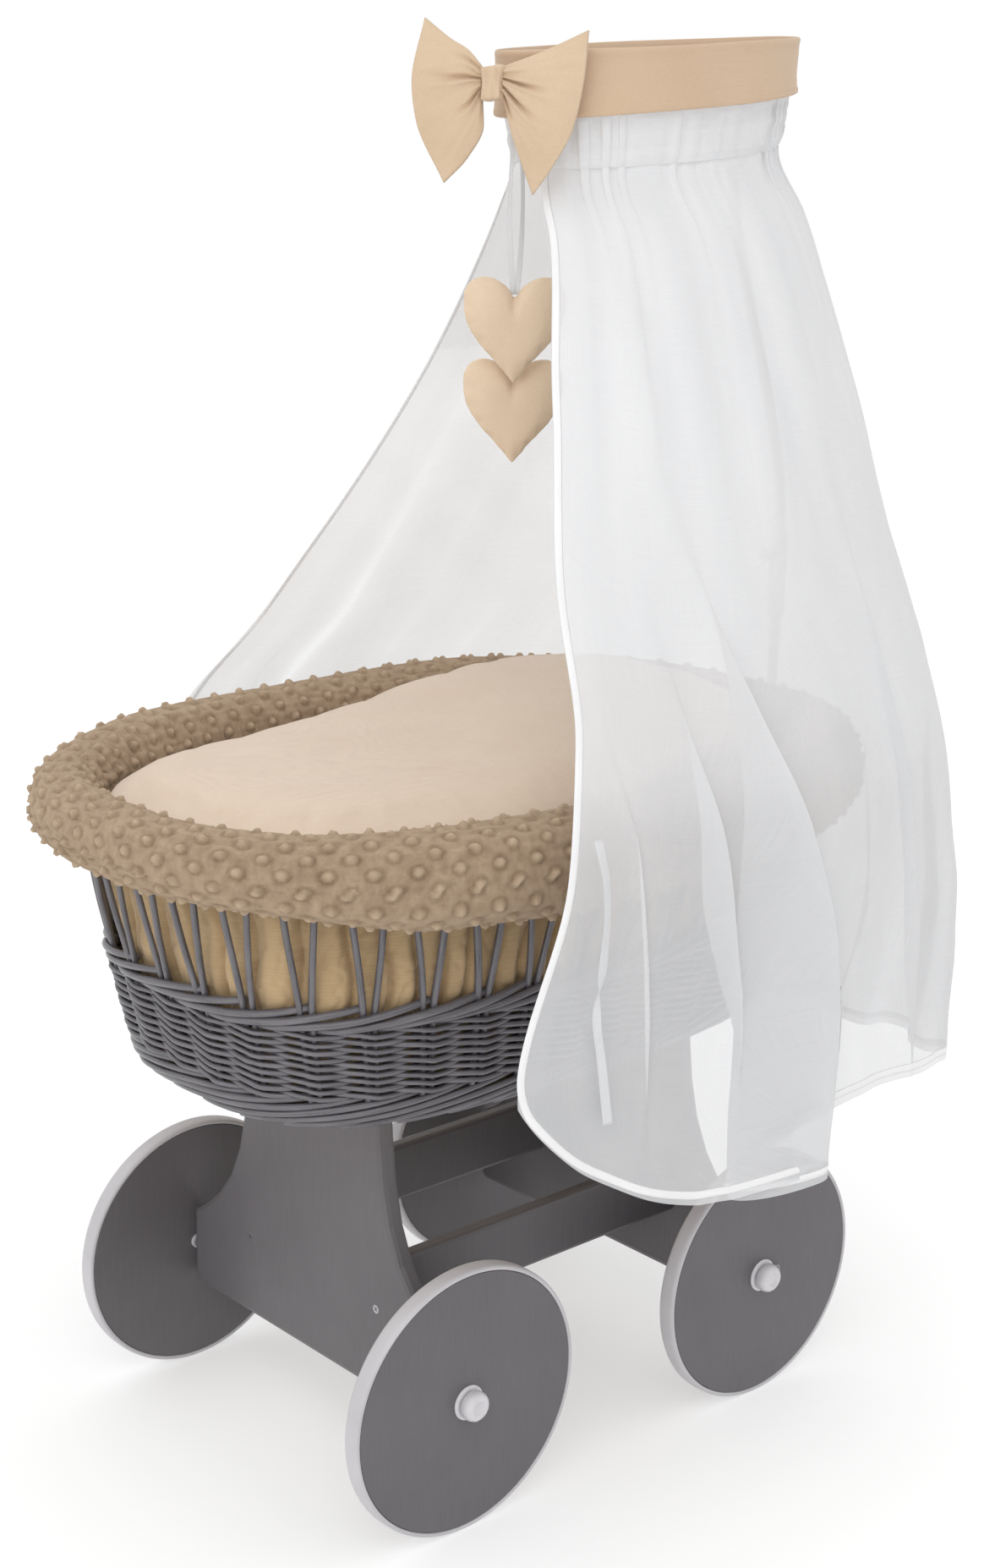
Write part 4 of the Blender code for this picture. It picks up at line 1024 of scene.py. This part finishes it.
def coons(top, bottom, start, end, columns, rows):
    """A patch of points between four edges: top and bottom run from start to end."""

    def even(line, count):
        line = np.array(line, float)
        seen = distances(line)
        fine = smooth_between(np.linspace(0, seen[-1], 200), seen, line)
        walked = distances(fine)
        wanted = np.linspace(0, walked[-1], count)
        return np.stack([np.interp(wanted, walked, fine[:, k]) for k in (0, 1)], -1)

    upper, lower = even(top, columns), even(bottom, columns)
    left, right = even(start, rows), even(end, rows)
    a = np.linspace(0, 1, columns)[None, :, None]
    b = np.linspace(0, 1, rows)[:, None, None]
    ruled = (1 - b) * upper[None] + b * lower[None] + (1 - a) * left[:, None] + a * right[:, None]
    corners = (1 - a) * (1 - b) * left[0] + a * (1 - b) * right[0]
    corners = corners + (1 - a) * b * left[-1] + a * b * right[-1]
    return ruled - corners


BOW_PLACE = Matrix.Translation((0.0100, 0.0027, 1.3853)) @ Matrix.Rotation(math.radians(-62), 4, "Z")


def bow_piece(name, front, back, material):
    """Two faces of cloth joined round their edges. Points are across, back and up in the bow's plane."""
    rows, columns = front.shape[:2]
    count = rows * columns
    faces = grid_faces(rows, columns) + [f[::-1] for f in grid_faces(rows, columns, first=count)]
    loop = [(0, j) for j in range(columns)] + [(i, columns - 1) for i in range(1, rows)]
    loop += [(rows - 1, j) for j in range(columns - 2, -1, -1)] + [(i, 0) for i in range(rows - 2, 0, -1)]
    ring = [i * columns + j for i, j in loop]
    for a, b in zip(ring, ring[1:] + ring[:1]):
        faces.append([b, a, a + count, b + count])
    points = np.concatenate([front.reshape(-1, 3), back.reshape(-1, 3)])
    made = facing_out(mesh_object(name, points, faces, material))
    made.data.transform(BOW_PLACE)
    return made


def bow_lobe(name, top, bottom, start, end, seed, creases):
    """A full loop of cloth: each crease has its place, depth, width and reach from the knot."""
    rows, columns = 64, 72
    flat = coons(top, bottom, start, end, columns, rows)
    a = np.linspace(0, 1, columns)[None]
    b = np.linspace(0, 1, rows)[:, None]
    edge = np.minimum(np.minimum(b, 1 - b) * 7, 1) * np.minimum((1 - a) * 9, 1)
    rounded = np.sqrt(np.clip(1 - (1 - edge) ** 2, 0, 1))
    belly = 0.0086 * np.sin(math.pi * np.clip(0.12 + 0.88 * a, 0, 1)) ** 0.8 * np.sin(math.pi * b) ** 0.5
    folds = 0.0
    for centre, depth, width, reach in creases:
        line = centre + 0.10 * (a - 0.2) * (centre - 0.5)
        fading = 1 - smooth_step(a, 0.1, reach)
        folds = folds - depth * np.exp(-(((b - line) / width) ** 2)) * fading
        folds = folds + 0.5 * depth * np.exp(-(((b - line - 1.7 * width) / width) ** 2)) * fading
    soft = 0.0011 * ripple(a * 0.4 + 0 * b, b * 1.3, seed, waves=7)
    gather = 0.0016 * np.cos(TURN * b * 5.5 + 0.8) * (1 - smooth_step(a, 0.0, 0.45))
    forward = 0.0014 + (belly + folds + soft + gather) * rounded
    behind = -0.0014 - (0.6 * belly - 0.6 * folds + soft) * rounded
    front = np.stack([flat[..., 0], -np.clip(forward, 0.0006, 0.014), flat[..., 1]], -1)
    back = np.stack([flat[..., 0], -np.clip(behind, -0.010, -0.0006), flat[..., 1]], -1)
    return bow_piece(name, front, back, BOW)


def bow_knot():
    """A pinched wrap of the same cloth round the middle."""
    rows, around = 40, 64
    angle = np.arange(around) / around * TURN
    v = np.linspace(-1, 1, rows)[:, None]
    c, s = np.cos(angle), np.sin(angle)
    half_across = 0.0122 * (1 + 0.10 * v**2) * (1 + 0.03 * np.sin(5 * v))
    pinch = 1 - 0.10 * np.exp(-(((v - 0.1) / 0.35) ** 2))
    crease = 0.0007 * np.sin(9 * angle + 2.2 * v + 0.7) + 0.0005 * np.sin(17 * angle - 1.5 * v)
    x = half_across * pinch * np.sign(c) * np.abs(c) ** 0.75
    y = (0.0112 + crease) * pinch * np.sign(s) * np.abs(s) ** 0.75
    # The wrap reaches back to the band that it is sewn to
    y = np.where(y < 0, y * (1 + 1.25 * smooth_step(-s, 0.2, 1.0)), y)
    up = 0.0162 * np.sign(v) * (1 - (1 - np.abs(v)) ** 1.6) + 0.0015 * c * v**2 - 0.0024
    close = np.sqrt(np.clip(1 - np.abs(v) ** 7, 0.05, 1))
    points = np.stack([x * close, -y * close, up + 0 * x], -1)
    made = facing_out(mesh_object("bow_knot_cloth", points, tube_faces(rows, around), BOW))
    made.data.transform(BOW_PLACE)
    return made


def heart(name, tip, forward):
    """A stuffed heart, fuller in its lobes, with its seam round the edge."""
    half = np.array(
        [(0, 0), (0.17, 0.18), (0.37, 0.41), (0.48, 0.62), (0.495, 0.80), (0.43, 0.95),
         (0.29, 1.0), (0.11, 0.94), (0, 0.83)]
    ) * (0.112, 0.110)
    seen = distances(half)
    side = smooth_between(np.linspace(0, seen[-1], 60), seen, half)
    side[:, 0] = np.maximum(side[:, 0], 0)
    outline = np.concatenate([side, (side * (-1, 1))[::-1][1:-1]])
    centre = np.array([0, 0.0635])
    rings = 26
    points = []
    for i in range(rings):
        share = i / (rings - 1)
        turn = math.pi * (share - 0.5)
        out = max(abs(math.cos(turn)) ** 0.92, 0.03)
        deep = math.copysign(abs(math.sin(turn)) ** 0.9, math.sin(turn))
        flat = centre + (outline - centre) * out
        groove = 0.0030 * np.exp(-((flat[:, 0] / 0.006) ** 2)) * smooth_step(flat[:, 1], 0.060, 0.09)
        lobe = 1 + 0.10 * np.exp(-(((np.abs(flat[:, 0]) - 0.026) / 0.02) ** 2))
        pull = 0.0008 * np.sin(np.arange(len(outline)) * 0.9) * out**6
        thick = (0.0098 * lobe * deep - math.copysign(1, deep) * groove * (1 - out**4)) + pull
        points.append(np.stack([flat[:, 0], thick, flat[:, 1]], -1))
    made = mesh_object(name, np.array(points), tube_faces(rings, len(outline)), HEART)
    made = puffed(facing_out(made), 0.0035, voxel=0.003)
    spin = Matrix.Rotation(FACING_CAMERA, 4, "Z")
    offset = spin @ Vector((0, -forward * 0.0103, 0))
    made.data.transform(Matrix.Translation(Vector((HEART_X, HEART_Y, tip + 0.003)) + offset) @ spin)
    return made


def ribbon(name, path, across, width, thickness, material):
    """A flat tape along a path; across gives the direction of its width at each point."""
    path, across = np.array(path, float), np.array(across, float)
    along = np.gradient(path, axis=0)
    along /= np.linalg.norm(along, axis=1)[:, None]
    across = across - (across * along).sum(1)[:, None] * along
    across /= np.linalg.norm(across, axis=1)[:, None]
    face = np.cross(along, across)
    section = [(-0.5, 0), (-0.46, 0.5), (-0.2, 0.42), (0.2, 0.42), (0.46, 0.5), (0.5, 0)]
    section += [(0.46, -0.5), (0.2, -0.42), (-0.2, -0.42), (-0.46, -0.5)]
    points = np.stack([path + across * (x * width) + face * (y * thickness) for x, y in section], 1)
    walked = distances(path)
    uv = np.stack(
        [
            np.broadcast_to(np.array([s[0] for s in section]) * width, points.shape[:2]),
            np.broadcast_to(walked[:, None], points.shape[:2]),
        ],
        -1,
    )
    faces = tube_faces(len(path), len(section))
    return facing_out(mesh_object(name, points, faces, material, uv))


# Camera, floor and light


def look():
    """The camera, three quarters from the foot end and a little above the basket."""
    data = bpy.data.cameras.new("camera")
    data.lens, data.sensor_width = 56.18, 36.0
    data.clip_start, data.clip_end = 0.05, 60
    camera = bpy.data.objects.new("camera", data)
    bpy.context.scene.collection.objects.link(camera)
    right = Vector((0.74819, -0.66330, 0.01576))
    up = Vector((0.16626, 0.21043, 0.96337))
    ahead = Vector((0.64232, 0.71816, -0.26772))
    turn = Matrix((right, up, -ahead)).transposed().to_4x4()
    camera.matrix_world = Matrix.Translation((-1.62629, -1.84914, 1.36332)) @ turn
    bpy.context.scene.camera = camera


def soft_light(name, place, size, power, towards):
    data = bpy.data.lights.new(name, "AREA")
    data.shape, data.size, data.energy = "SQUARE", size, power
    lamp = bpy.data.objects.new(name, data)
    bpy.context.scene.collection.objects.link(lamp)
    lamp.location = place
    lamp.rotation_mode = "QUATERNION"
    lamp.rotation_quaternion = (Vector(towards) - Vector(place)).to_track_quat("-Z", "Y")


def studio():
    """A pale floor and soft white light all round."""
    floor_finish = Finish("studio_floor", 0.9, Specular_IOR_Level=0.1, Emission_Strength=0.45)
    floor_finish.shader.inputs["Emission Color"].default_value = (1, 1, 1, 1)
    cloud = floor_finish.noise(floor_finish.place, 0.6, 2.0)
    floor_finish.colours(cloud, (0.56, 0.56, 0.56), (0.58, 0.58, 0.58))
    span = np.linspace(-9, 9, 13)
    x, y = np.meshgrid(span, span, indexing="ij")
    floor = grid_object("studio_floor", np.stack([x, y, 0 * x], -1), floor_finish.material)
    floor.data.flip_normals()
    world = bpy.data.worlds.new("studio")
    world.use_nodes = True
    # The room seen is plain white; the light that it gives is stronger from above
    tree = world.node_tree
    background = tree.nodes["Background"]
    place = tree.nodes.new("ShaderNodeTexCoord")
    height = tree.nodes.new("ShaderNodeSeparateXYZ")
    climb = tree.nodes.new("ShaderNodeMapRange")
    seen = tree.nodes.new("ShaderNodeLightPath")
    choice = tree.nodes.new("ShaderNodeMix")
    climb.inputs["From Min"].default_value, climb.inputs["From Max"].default_value = 0.0, 1.0
    climb.inputs["To Min"].default_value, climb.inputs["To Max"].default_value = 0.62, 1.30
    choice.inputs["B"].default_value = 1.0
    tree.links.new(place.outputs["Generated"], height.inputs["Vector"])
    tree.links.new(height.outputs["Z"], climb.inputs["Value"])
    tree.links.new(seen.outputs["Is Camera Ray"], choice.inputs["Factor"])
    tree.links.new(climb.outputs["Result"], choice.inputs["A"])
    tree.links.new(choice.outputs["Result"], background.inputs["Strength"])
    background.inputs["Color"].default_value = (1, 1, 1, 1)
    bpy.context.scene.world = world
    soft_light("key", (-2.6, -2.4, 3.4), 2.4, 30, (0, 0, 0.6))
    soft_light("front", (-3.2, -0.2, 0.9), 1.8, 11, (0, 0, 0.4))
    bpy.context.scene.view_settings.view_transform = "Standard"


look()
studio()

# The free ribbon at the near edge of the veil, and the ribbons that carry the hearts

TIE = [
    (-0.1905, -0.3780, 0.7430), (-0.1930, -0.3860, 0.7280), (-0.1900, -0.3890, 0.7096),
    (-0.1873, -0.3890, 0.6745), (-0.1908, -0.3890, 0.6311), (-0.1974, -0.3890, 0.5856),
    (-0.1892, -0.3890, 0.5343), (-0.1795, -0.3890, 0.4743),
]


def tie_ribbon():
    line = np.array(TIE)
    walked = distances(line)
    path = smooth_between(np.linspace(0, walked[-1], 60), walked, line)
    share = np.linspace(0, 1, 60)
    turn = FACING_CAMERA + 0.5 + 2.6 * smooth_step(share, 0.42, 0.62) + 0.4 * np.sin(7 * share)
    across = np.stack([np.cos(turn), np.sin(turn), 0 * share], -1)
    made = ribbon("tie_ribbon", path, across, 0.009, 0.0009, RIBBON)
    placed(made, "canopy", "white_cotton", "veil_tie")


tie_ribbon()


def heart_ribbons():
    """Two sheer tapes down to the upper heart's notch, and the loop that holds them behind the band."""
    spin = Matrix.Rotation(FACING_CAMERA, 3, "Z")
    right = np.array(spin @ Vector((1, 0, 0)))
    share = np.linspace(0, 1, 40)
    made = []
    for index, side in enumerate((-1, 1)):
        away = side * (0.0012 + 0.0052 * np.sin(math.pi * share) ** 0.8)
        path = np.array([RIBBON_X, RIBBON_Y, 0.0]) + right[None] * away[:, None]
        path[:, 2] = RIBBON_TOP + (RIBBON_FOOT - RIBBON_TOP) * share
        turn = FACING_CAMERA + side * (0.35 + 0.5 * np.sin(4 * share))
        across = np.stack([np.cos(turn), np.sin(turn), 0 * share], -1)
        made.append(ribbon(f"heart_ribbon_{index + 1}", path, across, 0.0062, 0.0005, RIBBON))
    share = np.linspace(0, 1, 12)
    path = np.array([RIBBON_X, RIBBON_Y, 0.0]) + np.array([-0.0085, 0.0, 0.0]) * share[:, None] ** 2
    path[:, 2] = RIBBON_TOP + 0.0016 + 0.0290 * share
    across = np.tile([math.cos(FACING_CAMERA), math.sin(FACING_CAMERA), 0.0], (12, 1))
    made.append(ribbon("heart_ribbon_loop", path, across, 0.0070, 0.0006, RIBBON))
    return made


# The wheeled frame


WHEEL_X, WHEEL_Z = 0.21135, 0.140
DISC_FACE, KNOB_BACK = 0.2389, 0.2441

# Half sections: (radius, height outwards from the disc's face), and for the knob from its own back
DISC = (
    (0.0090, 0.0), (0.0300, 0.0001), (0.1280, 0.0), (0.1340, -0.0001), (0.1347, -0.0008),
    (0.1347, -0.0172), (0.1340, -0.0179), (0.1280, -0.018), (0.0300, -0.018), (0.0090, -0.018),
)
TYRE = (
    (0.1350, -0.0007), (0.1354, 0.0001), (0.1368, 0.0007), (0.1384, 0.0003), (0.1395, -0.0012),
    (0.1400, -0.0040), (0.1400, -0.0140), (0.1395, -0.0168), (0.1384, -0.0183),
    (0.1368, -0.0187), (0.1354, -0.0181), (0.1350, -0.0173),
)
FLANGE = (
    (0.0053, 0.0030), (0.0150, 0.0030), (0.0170, 0.0026), (0.0179, 0.0017), (0.0180, 0.0004),
    (0.0082, 0.0003), (0.0082, -0.0200), (0.0053, -0.0200),
)
KNOB = (
    (0.0002, 0.0103), (0.0050, 0.0104), (0.0062, 0.0108), (0.0071, 0.0119), (0.0082, 0.0125),
    (0.0108, 0.0122), (0.0128, 0.0112), (0.0143, 0.0094), (0.0152, 0.0070), (0.0155, 0.0048),
    (0.0153, 0.0022), (0.0145, 0.0002), (0.0053, 0.0), (0.0053, 0.0068), (0.0002, 0.0068),
)


def wheels():
    for row, x in (("front", -WHEEL_X), ("rear", WHEEL_X)):
        for hand, side in (("left", 1), ("right", -1)):
            corner = f"{row}_{hand}"
            wheel = f"wheel_{corner}"
            for name, profile, out, steps, material, body, slot, node in (
                ("disc", DISC, DISC_FACE, 96, PAINT, wheel, "dark_grey_paint", "wheel_disc"),
                ("edging", TYRE, DISC_FACE, 160, RUBBER, wheel, "pale_rubber", "tyre"),
                ("bush", FLANGE, DISC_FACE, 96, PLASTIC, wheel, "pale_plastic", "hub_flange"),
                ("cap", KNOB, KNOB_BACK, 96, PLASTIC, "cradle", "pale_plastic", "hub_knob"),
            ):
                centre = (x, side * out, WHEEL_Z)
                made = turned(f"{name}_{corner}", profile, centre, side, material, steps)
                placed(made, body, slot, f"{node}_{corner}")


def tube_through(name, line, radius, material):
    """A bent tube in the cradle's middle plane, through (x, z) points."""
    spacing = 0.008
    line = np.array([(x, 0.0, z) for x, z in line])
    walked = distances(line)
    count = int(walked[-1] / spacing) + 2
    path = smooth_between(np.linspace(0, walked[-1], count), walked, line)
    side = np.tile([0.0, 1.0, 0.0], (count, 1))
    return rods(name, [path], [side], radius, material, sides=20)


LOWER_POLE = (
    (0.2284, 0.235), (0.2284, 0.275), (0.2284, 0.318), (0.2340, 0.346), (0.2560, 0.368), (0.3000, 0.388),
    (0.3650, 0.415), (0.4150, 0.465), (0.4420, 0.550), (0.4515, 0.640), (0.4520, 0.720), (0.4520, 0.815),
)
UPPER_POLE = (
    (0.4520, 0.8155), (0.4520, 0.860), (0.4520, 0.905), (0.4510, 0.940), (0.4270, 1.040), (0.3860, 1.160),
    (0.3560, 1.260), (0.3500, 1.320), (0.3570, 1.370), (0.3730, 1.400), (0.3890, 1.408),
)


def painted(node, material):
    """Gives one of the CAD objects its finish."""
    node.data.materials.clear()
    node.data.materials.append(material)


def build_frame():
    wheels()
    for name, material in (
        ("front_panel", PAINT), ("rear_panel", PAINT), ("rail_left", PAINT), ("rail_right", PAINT),
        ("base_board", WOOD), ("pole_sleeve", ENAMEL), ("clamp_screw", ENAMEL),
        ("pole_saddle_1", ENAMEL), ("pole_saddle_2", ENAMEL),
    ):
        painted(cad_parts[name], material)
    for name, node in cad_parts.items():
        if name.startswith(("rail_screw", "axle", "hub_clip")):
            painted(node, STEEL)
    lower = tube_through("pole_foot", LOWER_POLE, 0.006, ENAMEL)
    placed(lower, "cradle", "white_enamel", "pole_lower")
    upper = tube_through("pole_head", UPPER_POLE, 0.0059, ENAMEL)
    placed(upper, "canopy", "white_enamel", "pole_upper")


def build_basket():
    placed(woven_wall(), "cradle", "grey_wicker", "basket_wall")
    border = slanting_rods("top_border_rods", 2.9, 0.5365, 0.5600, 0.0039, 0.0054, 0.0035, 31, ease=-0.05)
    placed(border, "cradle", "grey_wicker", "top_border")
    waling = slanting_rods("bottom_waling", 4.6, 0.4300, 0.4615, 0.0033, 0.0048, 0.0045, 32, ease=0.02)
    placed(waling, "cradle", "grey_wicker", "bottom_border")
    placed(stakes(), "cradle", "grey_wicker", "stake_lattice")
    placed(base_weave(), "cradle", "grey_wicker")
    cloth = placed(liner(), "cradle", "beige_cotton", "liner")
    roll = placed(rim_roll(), "cradle", "brown_plush", "padded_roll")
    for made, node, slot, fill in (
        (duvet(), "duvet", "pale_cotton", 0.7),
        (mattress(), "mattress", "white_cotton", 0.9),
        (head_pillow(), "head_pillow", "white_cotton", 0.6),
    ):
        placed(made, "cradle", slot, node)


LEFT_LOBE = dict(
    top=[(-0.0112, 0.0122), (-0.0275, 0.0289), (-0.0448, 0.0385), (-0.0723, 0.0581)],
    bottom=[(-0.0112, -0.0190), (-0.0100, -0.0420), (-0.0262, -0.0732), (-0.0508, -0.0978)],
    start=[(-0.0112, 0.0122), (-0.0112, -0.0190)],
    end=[(-0.0723, 0.0581), (-0.0857, -0.0027), (-0.0815, -0.0362), (-0.0508, -0.0978)],
    seed=81,
    creases=[(0.34, 0.0085, 0.030, 1.05), (0.66, 0.0075, 0.030, 0.60), (0.12, 0.0060, 0.030, 0.55)],
)
RIGHT_LOBE = dict(
    top=[(0.0112, 0.0136), (0.0501, 0.0274), (0.0961, 0.0471)],
    bottom=[(0.0112, -0.0176), (0.0175, -0.0434), (0.0292, -0.0744), (0.0425, -0.1071)],
    start=[(0.0112, 0.0136), (0.0112, -0.0176)],
    end=[(0.0961, 0.0471), (0.0936, 0.0106), (0.0829, -0.0422), (0.0621, -0.0801), (0.0425, -0.1071)],
    seed=82,
    creases=[(0.38, 0.0085, 0.030, 0.80), (0.64, 0.0080, 0.028, 0.75), (0.86, 0.0050, 0.03, 0.45)],
)


def build_canopy():
    hoop = np.linspace(0, TURN, 220, endpoint=False)
    side = ring_point(hoop, 1.0, 0.0) - ring_point(hoop, 0.0, 0.0)
    ring = rods("hoop", [ring_point(hoop, 0.0, RING_Z)], [side], 0.003, STEEL, sides=12, closed=True)
    placed(ring, "canopy", "steel", "canopy_ring")
    wrap = placed(band(), "canopy", "beige_cotton", "canopy_band")
    cloth, binding, edging = veil()
    placed(cloth, "canopy", "white_voile", "veil")
    placed(binding, "canopy", "white_cotton")
    placed(edging, "canopy", "white_voile")
    heading = placed(veil_header(), "canopy", "white_voile")
    for name, edges in (("bow_left", LEFT_LOBE), ("bow_right", RIGHT_LOBE)):
        lobe = placed(bow_lobe(name, **edges), "canopy", "beige_cotton", f"{name}_lobe")
    knot = placed(bow_knot(), "canopy", "beige_cotton", "bow_knot")
    ribbons = heart_ribbons()
    placed(ribbons[0], "upper_heart", "white_voile", "heart_ribbon")
    placed(ribbons[1], "upper_heart", "white_voile")
    placed(ribbons[2], "canopy", "white_voile")
    for name, tip, forward in (("upper", 1.084, 1), ("lower", 1.000, -1)):
        made = heart(f"{name}_heart_pad", tip, forward)
        placed(made, f"{name}_heart", "beige_cotton", f"heart_{name}")


build_frame()
build_basket()
build_canopy()
